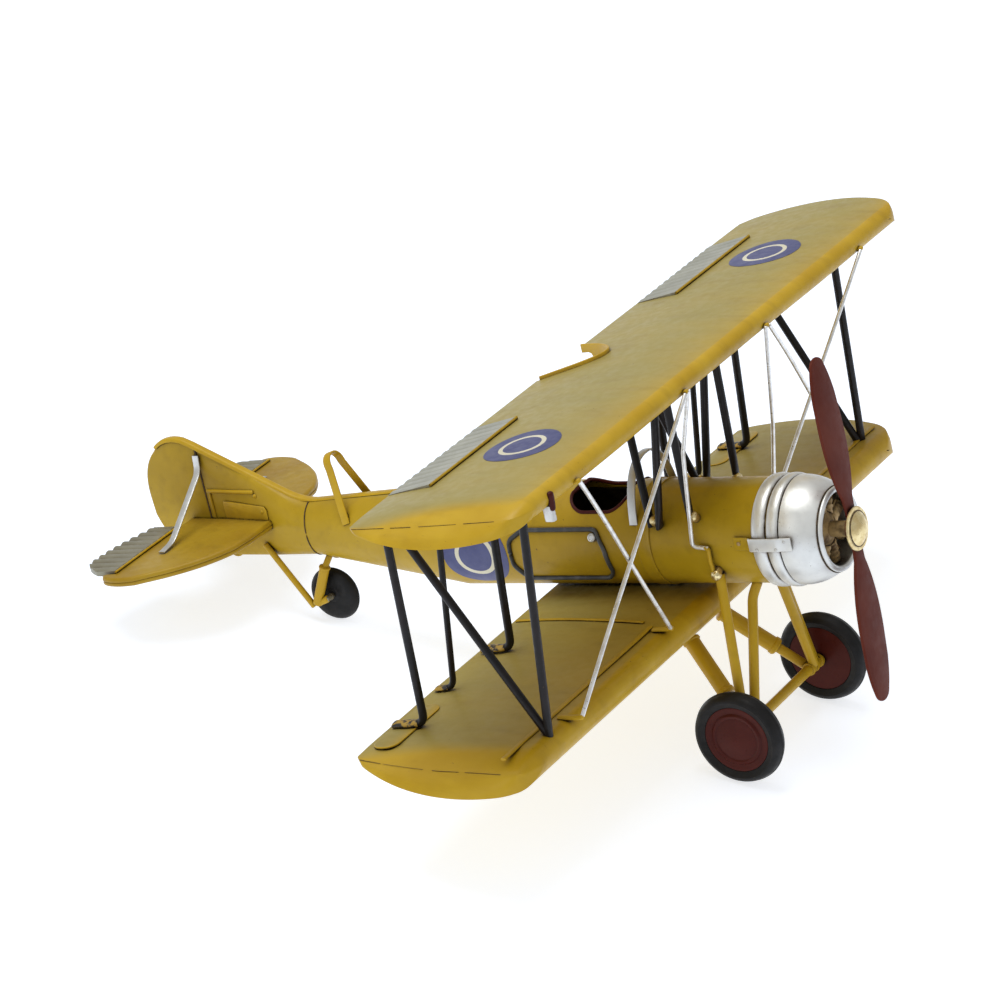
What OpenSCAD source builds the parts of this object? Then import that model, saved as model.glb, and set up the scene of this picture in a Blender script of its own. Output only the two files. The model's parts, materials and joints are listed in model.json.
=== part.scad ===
// Tin-plate biplane display model. Units: millimetres.
// Every module is drawn in the aircraft's own axes: x forward along the propeller
// shaft, y to port, z up, zero at the front face of the propeller flange.
// stand() then tips the nose up so that the model rests on its three tyres.

/* [Stance] */
// Nose-up angle of the standing model, degrees
nose_up = 14.6; // [12:0.1:17]
// Height of the propeller shaft above the floor
shaft_height = 95.9; // [94:0.1:96]
// Distance of the propeller flange ahead of the middle of the model
shaft_ahead = 146.8; // [145:0.1:156]

/* [Sheet and rods] */
// Thickness of the rolled tin sheet
sheet = 0.8; // [0.6:0.1:1]
// Radius of the wing struts
strut_r = 1.55; // [1.3:0.05:1.8]
// Radius of the bracing wires
wire_r = 0.8; // [0.6:0.05:1]
// Radial running clearance of the wheels and propeller
play = 0.05; // [0.03:0.01:0.1]

/* [Fuselage] */
// Radius of the round fuselage tube
fuse_r = 19.8; // [19.5:0.1:20.1]
// Where the tube starts to taper to the tail
taper_x = -168; // [-172:1:-164]
// Where the tapered tube meets the flat-sided tail
tail_seam_x = -239; // [-241:1:-237]
// Cockpit opening length
cockpit_l = 26; // [24:1:28]
// Cockpit opening width
cockpit_w = 29; // [27:1:30]

/* [Wings] */
// Half span at the corners of the top wing
top_half_span = 155; // [152:1:158]
// Half span at the corners of the lower wing
low_half_span = 155; // [152:1:158]
// How far the curved tips bulge past the corners
tip_bulge = 8.5; // [7:0.5:9]
// How far the cutout above the cockpit reaches in from the trailing edge
cutout_depth = 22.2; // [20:0.2:24]
// Number of ridges pressed in each aileron
aileron_ridges = 12; // [10:1:14]
// Number of ridges pressed in each elevator
elevator_ridges = 10; // [8:1:12]

/* [Wheels] */
// Main tyre radius
tyre_r = 18.2; // [18:0.1:18.3]
// Main tyre width
tyre_w = 7.8; // [7:0.1:8]
// Distance of each main wheel from the middle
track_half = 35.8; // [35.4:0.1:36.4]
// Tail tyre radius
tail_tyre_r = 11.1; // [10.8:0.1:11.3]

/* [Propeller] */
// Propeller blade radius, hub centre to tip
prop_r = 66; // [63:0.5:67]
// Blade width at its widest
blade_w = 17.4; // [16:0.2:18]
// Blade angle at rest, degrees from upright
prop_rest = 4; // [0:1:10]

/* [Output] */
// Which node to draw

/* [Hidden] */
$fn = 72;

yellow = "#c79a1e";
silver = "#c9cbc8";
maroon = "#5a2420";
brass = "#b8903c";
dark = "#24201f";
rubber = "#1c1c1c";
bronze = "#4a3720";

// main axle and tail axle, x and z in aircraft axes
axle = [-46.7, -68.1];
tail_axle = [-238.6, -25.5];
// fixed pin radius inside each wheel, and in the propeller
pin_r = 1.6;
wheel_disc_r = 13.2;
// the lower blade was bent a little out of line
lower_blade_turn = 3.6;
tail_pin_r = 1;
// cowl stations along the shaft
cowl_rear_x = -33.3;
cowl_middle_x = -27.1;
cowl_bowl_x = -21.6;
cowl_mouth_x = -8;
cowl_bulge = 1.4;
mouth_r = 14.3;
bowl_arc = 21.7;
// wing sections: nose centre, nose radius, and the middle and rear control points
top_nose = [-43.4, 70];
top_nose_r = 4;
top_mid = [-72, 76, 60.8];
top_rear = [-111, 68.3, 67.3];
low_nose = [-66.3, -27.1];
low_nose_r = 5.5;
low_mid = [-102, -18.6, -33.5];
low_rear = [-132.4, -20.6, -21.6];
// strut ends, aircraft axes; the two sides were bent by hand and differ a little
v_foot_left = [-70.2, 140.6, -22.4];
front_top_left = [-64.4, 138.6, 65.2];
diagonal_foot_left = [-71.2, 139, -21.6];
diagonal_top_left = [-107.5, 134.8, 67];
v_foot_right = [-64.6, -130.8, -22.6];
front_top_right = [-53.8, -130.8, 65.4];
diagonal_foot_right = [-65.2, -130.8, -21.4];
diagonal_top_right = [-109.6, -134, 67];
rear_top_left = [-109.3, 130.2, 67.1];
rear_top_right = [-109.9, -134, 67.1];
rear_bend = [-116.5, 130.2, -18.4];
rear_foot = [-129, 130.2, -19];
inner_top = [-109.3, 65.3, 67.1];
inner_bend = [-117, 65.3, -18.5];
inner_foot = [-129, 65.3, -19.1];
link_top = [-109, 99, 67.1];
link_bend = [-122.6, 99, -18.9];
link_foot = [-129.6, 99, -19.5];
bolt_rear = [-72.9, 19.3, 12.3];
bolt_front = [-56.6, 19.3, 14];
bolt_gear = [-50.6, 19.4, -8.6];
cabane_rear_foot = [-74.4, 19.4, 10.2];
cabane_mid_foot = [-71.1, 19.6, 9.6];
cabane_front_foot = [-57.2, 19, 12.4];
cabane_rear_top = [-83, 7, 65.2];
cabane_mid_top = [-60, 20, 65.6];
cabane_front_top = [-56, 20, 65.6];
inner_anchor = [-38.6, 33, 68.5];
outer_anchor = [-38.6, 115, 68.3];
low_inner_anchor = [-60.5, 43.5, -20.4];
low_outer_anchor = [-58, 118, -21.2];
low_root_anchor = [-60.5, 29.5, -20.8];
low_far_anchor = [-76, 133.5, -19.8];
hinge_x = -298;
hinge_top = 8.4;
hinge_bottom = 4.6;

// ---------- helpers ----------
function bez(a, b, c, n = 10) =
  [for (i = [0:n]) let (t = i / n) (1 - t) * (1 - t) * a + 2 * t * (1 - t) * b + t * t * c];
function unit(v) = v / norm(v);
function port_to_starboard(p) = [p[0], -p[1], p[2]];
function rev(p) = [for (i = [len(p) - 1:-1:0]) p[i]];
function side(p, w) = [for (i = [0:len(p) - 1])
  let (d = unit(p[min(i + 1, len(p) - 1)] - p[max(i - 1, 0)])) p[i] + w * [-d[1], d[0]]];
function ribbon(p, w) = concat(side(p, w / 2), rev(side(p, -w / 2)));
function arc(c, r, a0, a1, n = 8) =
  [for (i = [0:n]) let (a = a0 + (a1 - a0) * i / n) c + r * [cos(a), sin(a)]];

module stand() translate([shaft_ahead, 0, shaft_height]) rotate([0, -nose_up, 0]) children();
module both() { children(); mirror([0, 1, 0]) children(); }
module starboard() mirror([0, 1, 0]) children();
// a profile drawn in x and z, thick along y from y0
module slab_xz(y0, w) translate([0, y0 + w, 0]) rotate([90, 0, 0]) linear_extrude(w) children();
// a profile drawn in y and z, thick along x from x0
module slab_yz(x0, w) translate([x0, 0, 0]) rotate([90, 0, 90]) linear_extrude(w) children();
// a profile drawn as radius and distance, spun about the shaft
module spin_x() rotate([0, 90, 0]) rotate_extrude() children();
// a profile drawn as radius and distance, spun about an axle along y
module spin_y(at) translate([at[0], 0, at[1]]) rotate([-90, 0, 0]) rotate_extrude() children();
module rod(p, q, r) translate(p)
  rotate([0, acos((q - p)[2] / norm(q - p)), atan2((q - p)[1], (q - p)[0])])
    cylinder(h = norm(q - p), r = r);
// each bend is a ball a little fatter than the rod
module bent_rod(p, r) {
  for (i = [0:len(p) - 2]) rod(p[i], p[i + 1], r);
  for (i = [1:len(p) - 2]) translate(p[i]) sphere(r * 1.06);
}
module round_plate(l, w, r) {
  square([l - 2 * r, w], center = true);
  square([l, w - 2 * r], center = true);
  for (x = [-1, 1], y = [-1, 1]) translate([x * (l / 2 - r), y * (w / 2 - r)]) circle(r);
}

// ---------- wings ----------
function upper_skin(nose, r, mid, rear, n = 14) =
  bez([nose[0], nose[1] + r], [mid[0], mid[1]], [rear[0], rear[1]], n);
function lower_skin(nose, r, mid, rear, n = 14) =
  bez([nose[0], nose[1] - r], [mid[0], mid[2]], [rear[0], rear[2]], n);
module section(nose, r, mid, rear)
  polygon(concat(arc(nose, r, -90, 90, 12), upper_skin(nose, r, mid, rear),
    rev(lower_skin(nose, r, mid, rear))));
module hollow_section(nose, r, mid, rear) {
  up = upper_skin(nose, r, mid, rear);
  low = lower_skin(nose, r, mid, rear);
  room = [for (i = [0:len(up) - 1]) if (up[i][1] - low[i][1] > 2 * sheet + 1) i];
  polygon(concat(arc(nose, r - sheet, -90, 90, 12), [for (i = room) up[i] - [0, sheet]],
    [for (i = rev(room)) low[i] + [0, sheet]]));
}
// plan outline of a wing with curved tips
module plan(x0, x1, half) {
  bow = (pow((x1 - x0) / 2, 2) + pow(tip_bulge, 2)) / (2 * tip_bulge);
  translate([x0, -half]) square([x1 - x0, 2 * half]);
  for (s = [-1, 1]) intersection() {
    translate([(x0 + x1) / 2, s * (half + tip_bulge - bow)]) circle(bow, $fn = 360);
    translate([x0, s > 0 ? half - 1 : -half - tip_bulge - 1]) square([x1 - x0, tip_bulge + 2]);
  }
}
module cutout_shape(grow) offset(delta = grow)
  polygon([for (y = [-20:1:20]) [top_rear[0] + cutout_depth - y * y / 13.6, y]]);

module top_wing() color(yellow) difference() {
  intersection() {
    slab_xz(-170, 340) section(top_nose, top_nose_r, top_mid, top_rear);
    translate([0, 0, 50]) linear_extrude(40)
      plan(top_rear[0], top_nose[0] + top_nose_r, top_half_span);
  }
  difference() {
    slab_xz(-top_half_span + sheet, 2 * (top_half_span - sheet))
      hollow_section(top_nose, top_nose_r, top_mid, top_rear);
    translate([0, 0, 50]) linear_extrude(40) cutout_shape(2 * sheet);
  }
  translate([0, 0, 50]) linear_extrude(40) cutout_shape(0);
}

module cutout_trim() color(yellow) intersection() {
  slab_xz(-20, 40) for (rise = [0, 1.4]) translate([0, rise])
    section(top_nose, top_nose_r, top_mid, top_rear);
  translate([0, 0, 50]) linear_extrude(40) difference() {
    cutout_shape(0.05);
    cutout_shape(-0.9);
    translate([top_rear[0] - 4, -30]) square([4.2, 60]);
  }
}

module corrugated(y0, y1, ridges, thick, height) {
  pitch = (y1 - y0) / ridges;
  top = [for (i = [0:ridges - 1]) each [[y0 + i * pitch, thick], [y0 + (i + 0.5) * pitch, thick + height]]];
  polygon(concat([[y0, 0]], top, [[y1, thick], [y1, 0]]));
}
aileron_x = -92.8;
aileron_z = 71.2;
aileron_slope = atan((aileron_z - top_rear[1] - 0.1) / (aileron_x - top_rear[0]));
module aileron() color(silver) translate([aileron_x, 0, aileron_z])
  rotate([0, -aileron_slope, 0]) slab_yz(-18.2, 18.2)
    corrugated(63, 125.5, aileron_ridges, 0.5, 0.9);
module aileron_left() aileron();
module aileron_right() starboard() aileron();

module lower_wing() color(yellow) difference() {
  intersection() {
    slab_xz(-170, 340) section(low_nose, low_nose_r, low_mid, low_rear);
    translate([0, 0, -50]) linear_extrude(50)
      plan(low_rear[0], low_nose[0] + low_nose_r, low_half_span);
  }
  both() slab_xz(14, low_half_span - sheet - 14)
    hollow_section(low_nose, low_nose_r, low_mid, low_rear);
  rod([-150, 0, 0], [-50, 0, 0], fuse_r + 0.02);
}

low_skin = upper_skin(low_nose, low_nose_r, low_mid, low_rear);
module lower_wing_strips() color(yellow) both() {
  strip = [for (i = [2:len(low_skin) - 1]) low_skin[i]];
  slab_xz(37, 1.6) polygon(ribbon(strip, 1.2));
  slab_xz(41, 118) polygon([[-71.6, -22.2], [-69.8, -22.4], [-69.8, -20.5], [-71.6, -20.3]]);
}

module tip_patches() color(yellow) both() translate([-124.6, 130, -20.2])
  rotate([0, -4, 0]) linear_extrude(0.6) round_plate(11, 36, 5);

// ---------- fuselage ----------
module tail_section(grow, len) translate([tail_seam_x, 0, 3.4]) rotate([0, 90, 0])
  linear_extrude(len) scale([11.4 - grow, 8.6 - grow]) circle(1, $fn = 48);
// the taper starts just inside the tube, so that its facets never graze the round wall
module taper(grow) hull() {
  translate([taper_x, 0, 0]) rotate([0, 90, 0])
    cylinder(h = 0.5, r = fuse_r - grow - 0.08, $fn = 48);
  tail_section(grow, 0.1);
}
module cockpit_hole(grow) translate([-101, 0, 4]) linear_extrude(20)
  round_plate(cockpit_l + 2 * grow, cockpit_w + 2 * grow, 8 + grow);
module fuselage() color(yellow) difference() {
  union() {
    rod([taper_x, 0, 0], [cowl_bowl_x - 1, 0, 0], fuse_r);
    taper(0);
  }
  rod([taper_x - 0.01, 0, 0], [cowl_bowl_x + 1, 0, 0], fuse_r - sheet);
  difference() {
    taper(sheet);
    translate([tail_seam_x - 1, -30, -30]) cube([1 + sheet, 60, 60]);
  }
  cockpit_hole(0);
}

module fuselage_band() color(yellow) for (x = [-82.3, -77.5]) spin_x()
  translate([fuse_r, x]) square([0.5, 0.9]);

module cockpit_rim() color(maroon) intersection() {
  difference() {
    cockpit_hole(0);
    cockpit_hole(-0.9);
  }
  difference() {
    rod([-120, 0, 0], [-80, 0, 0], fuse_r + 0.6);
    rod([-121, 0, 0], [-79, 0, 0], fuse_r - sheet - 0.6);
  }
}

// strip along the spine, up the fin's leading edge and over its top
spine_line = concat([[-146, 20.2], [taper_x, 20.2], [-205, 17.4], [-228, 15.6]],
  bez([-236, 15], [-243, 14.9], [-250, 18.6], 4), [[-290, 39.8]],
  bez([-294, 41.6], [-302, 43.6], [-307.6, 38.9], 5));
module spine_strip() color(yellow) slab_xz(-2.1, 4.2) polygon(ribbon(spine_line, 0.8));

module tail_block() color(yellow) hull() {
  tail_section(0, 0.1);
  slab_xz(-2, 4) polygon([[-244, 15.4], [-246, 16.4], [-246, 12], [-244, 12]]);
  slab_xz(-1.3, 2.6) polygon([[-288, -8.6], [-288, 38.4], [-286.5, 37.6], [-286.5, -8.6]]);
}

module rudder() color(yellow) slab_xz(-1.2, 2.4)
  polygon(concat([[-288, -8.6], [-288, 38.4]], bez([-294, 41], [-302, 43], [-307.6, 38.2], 6),
    bez([-310, 36.2], [-316.4, 30], [-316, 17.6], 6), bez([-315.6, 10], [-311, -6], [-297, -8.6], 8)));

module fin_strips() color(yellow) both() {
  translate([0, 1.2, 0]) slab_xz(0, 3.2) polygon([[-287, 19], [-266, 19], [-266, 20.6], [-287, 20.6]]);
  translate([0, 1.2, 0]) slab_xz(0, 1.9) polygon([[-286.6, 4], [-285.2, 4], [-285.2, 19], [-286.6, 19]]);
  translate([0, 3.6, 0]) slab_xz(0, 3.6) polygon([[-277, 8.4], [-258, 8.4], [-258, 13.6], [-277, 13.6]]);
}

// ---------- fittings on the fuselage ----------
module windscreen_arch() color(silver) slab_yz(-85, 3.5)
  polygon(ribbon(concat(bez([-17.5, 9.8], [-14, 32], [0, 32], 12),
    rev([for (p = bez([-17.5, 9.8], [-14, 32], [0, 32], 12)) if (p[0] < -0.5) [-p[0], p[1]]])), 0.8));

hoop_half = [[11, 8.6], [4.6, 29.8]];
hoop_line = concat(hoop_half, arc([0, 31], 4.4, 10, 170, 10), [[-4.6, 29.8], [-11, 8.6]]);
// the hoop leans back from its feet
module rear_hoop() color(yellow) translate([-217, 0, 8.6]) rotate([0, -17, 0])
  translate([0, 0, -8.6]) slab_yz(-1.85, 3.7) polygon(ribbon(hoop_line, 0.9));

// a clip on the leading edge of the right top wing, with a rounded tab up its front
lever_at = [-41.2, -133, 61];
module lever_bracket() color(silver) translate(lever_at + [-2.1, -1.5, 0]) cube([4.2, 3, 6.4]);
module lever_paddle() color(maroon) translate(lever_at + [1.7, 0, 5.6]) {
  rod([0, 0, 0], [0.2, 0, 4.8], 1.4);
  translate([0.2, 0, 4.8]) sphere(1.7);
}

door_outer = [[-134, 9.2], [-100, 9.2], [-96.2, 1], [-95.4, -9], [-98.5, -12.8],
  [-135, -12.8], [-139.4, -5.5], [-139.3, 4.6]];
door_inner = [[-133.3, 7.6], [-101, 7.6], [-97.8, 0.8], [-97, -8.6], [-99.4, -11.2],
  [-134.2, -11.2], [-137.8, -5.2], [-137.7, 4.2]];
module door_frame() color(dark) intersection() {
  slab_xz(-30, 30) difference() {
    polygon(door_outer);
    polygon(door_inner);
  }
  difference() {
    rod([-150, 0, 0], [-90, 0, 0], fuse_r + 1.3);
    rod([-151, 0, 0], [-89, 0, 0], fuse_r);
  }
}
module door_knob() color(silver) translate([-101.2, 0, 0]) rotate([16, 0, 0])
  rod([0, -fuse_r + 0.3, 0], [0, -fuse_r - 1.6, 0], 1.7);

// ---------- cowl and engine ----------
module bead_ring(x, w, bulge) {
  r = (w * w / 4 + bulge * bulge) / (2 * bulge);
  spin_x() intersection() {
    translate([fuse_r + bulge - r, x + w / 2]) circle(r);
    translate([fuse_r, x]) square([bulge + 1, w]);
  }
}
module cowl_rear_ring() color(silver) bead_ring(cowl_rear_x, 5.7, cowl_bulge);
module cowl_middle_ring() color(silver) bead_ring(cowl_middle_x, 5.4, cowl_bulge);
module cowl_bowl() color(silver) spin_x() intersection() {
  difference() {
    translate([fuse_r + 0.7 - bowl_arc, cowl_bowl_x]) circle(bowl_arc, $fn = 120);
    translate([fuse_r + 0.7 - bowl_arc, cowl_bowl_x]) circle(bowl_arc - 1, $fn = 120);
  }
  translate([10, cowl_bowl_x]) square([12, cowl_mouth_x - cowl_bowl_x]);
}
module cowl_lip() color(silver) spin_x() intersection() {
  translate([mouth_r + 0.4, cowl_mouth_x + 0.7]) circle(1.4);
  translate([10, cowl_mouth_x]) square([8, 4]);
}
strap_line = [[-43.6, 20.3], [-35.4, 20.3], [-33.4, 21.5], [-21.8, 21.5], [-20.6, 21.2], [-17, 20.9]];
module cowl_straps() color(silver) both() translate([0, 0, 0.1]) linear_extrude(5.2)
  polygon(ribbon(strap_line, 0.7));

module engine_crankcase() color(bronze) {
  spin_x() polygon([[0, -22.4], [fuse_r - sheet, -22.4], [fuse_r - sheet, -21.4], [7.2, -21.4],
    [6.9, -13], [3.4, -10.4], [0, -10.4]]);
}
module engine_cylinders() color(bronze) for (a = [0:40:320]) rotate([a, 0, 0]) {
  rod([-16.6, 0, 6.4], [-16.6, 0, 15], 2);
  for (z = [8.8:1.5:14]) rod([-16.6, 0, z], [-16.6, 0, z + 0.7], 2.6);
}

// ---------- propeller ----------
module propeller_shaft() color(bronze) {
  rod([-11, 0, 0], [-3.1, 0, 0], 3);
  rod([-3.1, 0, 0], [0.9, 0, 0], pin_r);
  rod([0.85, 0, 0], [1.5, 0, 0], 2.4);
}
function blade_edge(s) = concat([[s * 3.2, 0]], [[s * 3.4, 9]],
  bez([s * 4.6, 16], [s * (blade_w / 2 + 0.6), 27], [s * blade_w / 2, 42], 6),
  bez([s * (blade_w / 2 - 0.3), 50], [s * (blade_w / 2 - 1.4), 58], [s * 5.1, prop_r - 4], 5));
module blade(lean) rotate([0, -lean, 0]) slab_yz(-1.9, 1.2)
  polygon(concat(blade_edge(1), arc([0, prop_r - 5], 5.1, 12, 168, 10), rev(blade_edge(-1))));
module propeller_blades() color(maroon) rotate([-prop_rest, 0, 0]) difference() {
  union() {
    blade(3.6);
    rotate([180 - lower_blade_turn, 0, 0]) blade(-2);
    rod([-2.6, 0, 0], [-0.5, 0, 0], 5.4);
  }
  rod([-6, 0, 0], [1, 0, 0], pin_r + play);
}
module propeller_hub() color(brass) difference() {
  spin_x() {
    translate([0, -0.5]) square([8.3, 1]);
    intersection() {
      translate([0, -5.7]) circle(9);
      translate([0, 0]) square([9, 8]);
    }
  }
  rod([-2, 0, 0], [0.7, 0, 0], pin_r + play);
  rod([0.65, 0, 0], [1.7, 0, 0], 2.4 + play);
}

// ---------- struts and wires ----------
module front_strut_left() color(dark) rod(v_foot_left, front_top_left, strut_r);
module front_strut_right() color(dark) rod(v_foot_right, front_top_right, strut_r);
module diagonal_strut_left() color(dark) rod(diagonal_foot_left, diagonal_top_left, strut_r);
module diagonal_strut_right() color(dark) rod(diagonal_foot_right, diagonal_top_right, strut_r);
module rear_strut_left() color(dark) bent_rod([rear_top_left, rear_bend, rear_foot], strut_r);
module rear_strut_right() color(dark)
  bent_rod([rear_top_right, port_to_starboard(rear_bend), port_to_starboard(rear_foot)], strut_r);
module inner_struts() color(dark) both() bent_rod([inner_top, inner_bend, inner_foot], strut_r);
module aileron_links() color(dark) both() bent_rod([link_top, link_bend, link_foot], 1.2);
module cabane_struts() color(dark) both() {
  rod(cabane_rear_foot, cabane_rear_top, strut_r);
  rod(cabane_mid_foot, cabane_mid_top, strut_r);
  rod(cabane_front_foot, cabane_front_top, strut_r);
}
module bolt_head(at) {
  out = unit([0, at[1], at[2]]);
  rod([at[0], 0, 0] + out * (fuse_r - 0.4), [at[0], 0, 0] + out * (fuse_r + 3), 1.9);
  translate([at[0], 0, 0] + out * (fuse_r + 2.9)) sphere(2.05);
}
module brass_bolts() color(brass) both() {
  bolt_head(bolt_rear);
  bolt_head(bolt_front);
  bolt_head(bolt_gear);
}
module tab(p, q, w) {
  rod(p, q, w);
  translate(q) sphere(w * 1.15);
}
module wire_tabs() color(yellow) {
  both() {
    tab(inner_anchor + [-6, 0, -1.4], inner_anchor, 1.1);
    tab(outer_anchor + [-6, 0, -1.2], outer_anchor, 1.1);
    tab(low_inner_anchor + [-7.5, 0, -0.8], low_inner_anchor, 1.1);
  }
  starboard() tab(low_outer_anchor + [-9, 0, 0], low_outer_anchor, 1.1);
  tab(low_far_anchor + [-6, 0, -0.6], low_far_anchor, 1.1);
  tab(low_root_anchor + [-7.5, 0, -0.4], low_root_anchor, 1.1);
}
module landing_wires() color(silver) {
  rod(inner_anchor + [0, 1.4, -0.6], low_far_anchor + [0, -0.8, 0.4], wire_r);
  starboard() rod(inner_anchor + [0, 1.4, -0.6], low_outer_anchor + [0, -0.8, 0.4], wire_r);
}
// on the left the inner wire goes to the wing and the long one to the wing root
module flying_wires() color(silver) {
  rod(outer_anchor + [0, -0.8, -0.6], low_root_anchor + [0, 0.4, 0.4], wire_r);
  starboard() rod(outer_anchor + [0, -0.8, -0.6], low_inner_anchor + [0, 0.8, 0.4], wire_r);
}
module fuselage_wires() color(silver) {
  bent_rod([inner_anchor + [0, -1.2, -0.4], [-41.2, 33.2, 56.2], [-46.9, 36, 27.9],
    low_inner_anchor + [0, -0.4, 0.4]], wire_r);
  starboard() bent_rod([inner_anchor + [0, -1.2, -0.4], [-50, 26, 41.5], [-57.5, 21.8, 2.6],
    [-51.6, 21.3, 1.8], [-51, 21, -7]], wire_r);
}

// ---------- tail surfaces ----------
tail_front = concat([[-256, 4], [-256.4, 20]], bez([-258, 30], [-264, 46], [-281, 57], 6),
  bez([-287, 61], [-296, 64], [-302, 60.5], 5));
module tailplane() color(yellow) both() intersection() {
  difference() {
    translate([0, 0, hinge_bottom]) linear_extrude(hinge_top - hinge_bottom)
      polygon(concat(tail_front, [[-304.6, 58], [-303, 56.5], [hinge_x, 56.5], [hinge_x, 4]]));
    translate([0, 0, hinge_bottom + sheet]) linear_extrude(hinge_top - hinge_bottom - 2 * sheet)
      polygon([[-260, 8], [-262, 28], [-270, 44], [-283, 53], [hinge_x + 2, 53], [hinge_x + 2, 8]]);
  }
  hull() {
    translate([-240, 8.9, 0]) cube([1, 70, 20]);
    translate([-303, 1.3, 0]) cube([1, 78, 20]);
    translate([-306, 1.3, 0]) cube([1, 78, 20]);
  }
}
module elevators() color(silver) both() intersection() {
  translate([0, 0, hinge_top - 1.7]) slab_yz(-318, 318 + hinge_x)
    corrugated(12.5, 56.4, elevator_ridges, 1.1, 0.9);
  linear_extrude(20) polygon(concat([[hinge_x, 12.5], [-309, 12.5]],
    bez([-313.5, 13.5], [-315, 24], [-315.6, 36], 4), [[-316.4, 46], [-313.6, 52.5], [-306, 56.4],
    [hinge_x, 56.4]]));
}
module tail_braces() color(silver) both() slab_yz(-289.4, 3)
  polygon(ribbon([[1.7, 35], [2.1, 28.4], [30.8, 9.3], [38.4, 8.7]], 0.8));

// ---------- landing gear ----------
gear_foot_rear = [axle[0] - 0.6, 29.3, axle[1] + 1.4];
gear_foot_front = [axle[0] + 1.4, 25.2, axle[1] + 1.4];
module gear_struts() color(yellow) both() {
  rod(bolt_gear + [0.4, -0.4, -1.6], gear_foot_rear, 1.9);
  bent_rod([[-41.4, 8.4, -17.6], [-43.6, 10.6, -22.6], gear_foot_front], 1.9);
}
module wheel_axle() color(yellow) {
  rod([axle[0], -31.4, axle[1]], [axle[0], 31.4, axle[1]], 2);
  both() rod([axle[0], 31, axle[1]], [axle[0], 37.4, axle[1]], pin_r);
}
shock_foot = [axle[0] - 1.4, 26, axle[1] - 0.4];
shock_top = [-73.2, 12.6, -39];
shock_end = shock_top + 0.64 * (shock_foot - shock_top);
module shock_tubes() color(yellow) both() {
  rod(shock_top + [-1.2, -0.3, 9.2], shock_top + [1, 0.4, -1.2], 1.8);
  rod(shock_top, shock_end, 3.1);
  rod(shock_top + 0.02 * (shock_foot - shock_top), shock_top + 0.06 * (shock_foot - shock_top), 3.5);
  rod(shock_end - 0.05 * (shock_foot - shock_top), shock_end, 3.5);
}
module shock_pistons() color(yellow) both() rod(shock_end, shock_foot, 1.9);

module tyre_profile(r, w, hub) difference() {
  intersection() {
    translate([r - w * 0.62, 0]) scale([1.24, 1]) circle(w / 2);
    translate([hub, -w]) square([r, 2 * w]);
  }
  for (y = [-1, 1]) translate([r - 0.05, y * w * 0.17]) circle(0.35);
}
module tyre() color(rubber) translate([0, track_half, 0]) spin_y(axle) {
  tyre_profile(tyre_r, tyre_w, wheel_disc_r);
  translate([wheel_disc_r, -tyre_w * 0.36]) square([1.6, tyre_w * 0.72]);
}
module wheel_disc() color(maroon) difference() {
  translate([0, track_half, 0]) spin_y(axle) {
    polygon(concat([[0, -2.9], [wheel_disc_r, -2.6], [wheel_disc_r, 2.4], [12.3, 2.7], [10.2, 2.6],
      [9.8, 3], [9, 3]], bez([8.2, 2.8], [4, 3.4], [0, 4], 6)));
  }
  rod([axle[0], 20, axle[1]], [axle[0], 37.8, axle[1]], pin_r + play);
}
module tyre_left() tyre();
module tyre_right() starboard() tyre();
module wheel_disc_left() wheel_disc();
module wheel_disc_right() starboard() wheel_disc();

leg_top = [-236.5, -5.6, -12];
leg_knee = [-243.4, -6.4, -27];
module tail_leg() color(yellow) {
  rod([-234.6, -2.4, -7.6], leg_top, 1.3);
  rod(leg_top, leg_knee, 2);
  translate(leg_knee) sphere(2.1);
  rod(leg_knee, [tail_axle[0] - 0.4, -5.8, tail_axle[1]], 1.5);
  rod([tail_axle[0], -6.6, tail_axle[1]], [tail_axle[0], 3.2, tail_axle[1]], tail_pin_r);
  rod([tail_axle[0], -6.8, tail_axle[1]], [tail_axle[0], -3.1, tail_axle[1]], 1.7);
}
module tail_brace_rod() color(yellow) rod([-262.5, -5.2, -2], [-245.4, -6.4, -28.4], 1.3);
module tail_tyre() color(rubber) difference() {
  spin_y(tail_axle) {
    tyre_profile(tail_tyre_r, 5.6, 2);
    translate([0, -2.4]) square([8, 4.8]);
  }
  rod([tail_axle[0], -4, tail_axle[1]], [tail_axle[0], 4, tail_axle[1]], tail_pin_r + play);
}
module belly_loops() color(dark) for (x = [-233.5, -281]) translate([x, 0, x < -250 ? -5.6 : -6.6])
  rotate([90, 0, 0]) rotate_extrude() translate([3.2, 0]) circle(0.6);

stand() {
  fuselage();
  fuselage_band();
  spine_strip();
  tail_block();
  rudder();
  fin_strips();
  cockpit_rim();
  windscreen_arch();
  rear_hoop();
  lever_bracket();
  lever_paddle();
  door_frame();
  door_knob();
  cowl_rear_ring();
  cowl_middle_ring();
  cowl_bowl();
  cowl_lip();
  cowl_straps();
  engine_crankcase();
  engine_cylinders();
  propeller_shaft();
  propeller_blades();
  propeller_hub();
  top_wing();
  cutout_trim();
  aileron_left();
  aileron_right();
  lower_wing();
  lower_wing_strips();
  tip_patches();
  front_strut_left();
  front_strut_right();
  diagonal_strut_left();
  diagonal_strut_right();
  rear_strut_left();
  rear_strut_right();
  inner_struts();
  aileron_links();
  cabane_struts();
  brass_bolts();
  wire_tabs();
  landing_wires();
  flying_wires();
  fuselage_wires();
  tailplane();
  elevators();
  tail_braces();
  gear_struts();
  wheel_axle();
  shock_tubes();
  shock_pistons();
  tyre_left();
  tyre_right();
  wheel_disc_left();
  wheel_disc_right();
  tail_leg();
  tail_brace_rod();
  tail_tyre();
  belly_loops();
}
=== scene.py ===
"""The looks of a tin-plate biplane ornament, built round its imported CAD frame.

Shapes are drawn in the aircraft's own axes, in millimetres: x forward along the propeller
shaft, y to port, z up, zero at the front face of the propeller flange. AIRCRAFT, worked out
from the propeller's joint, stands them on the floor in the frame's metres.
"""

import json
import math
import random

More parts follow.
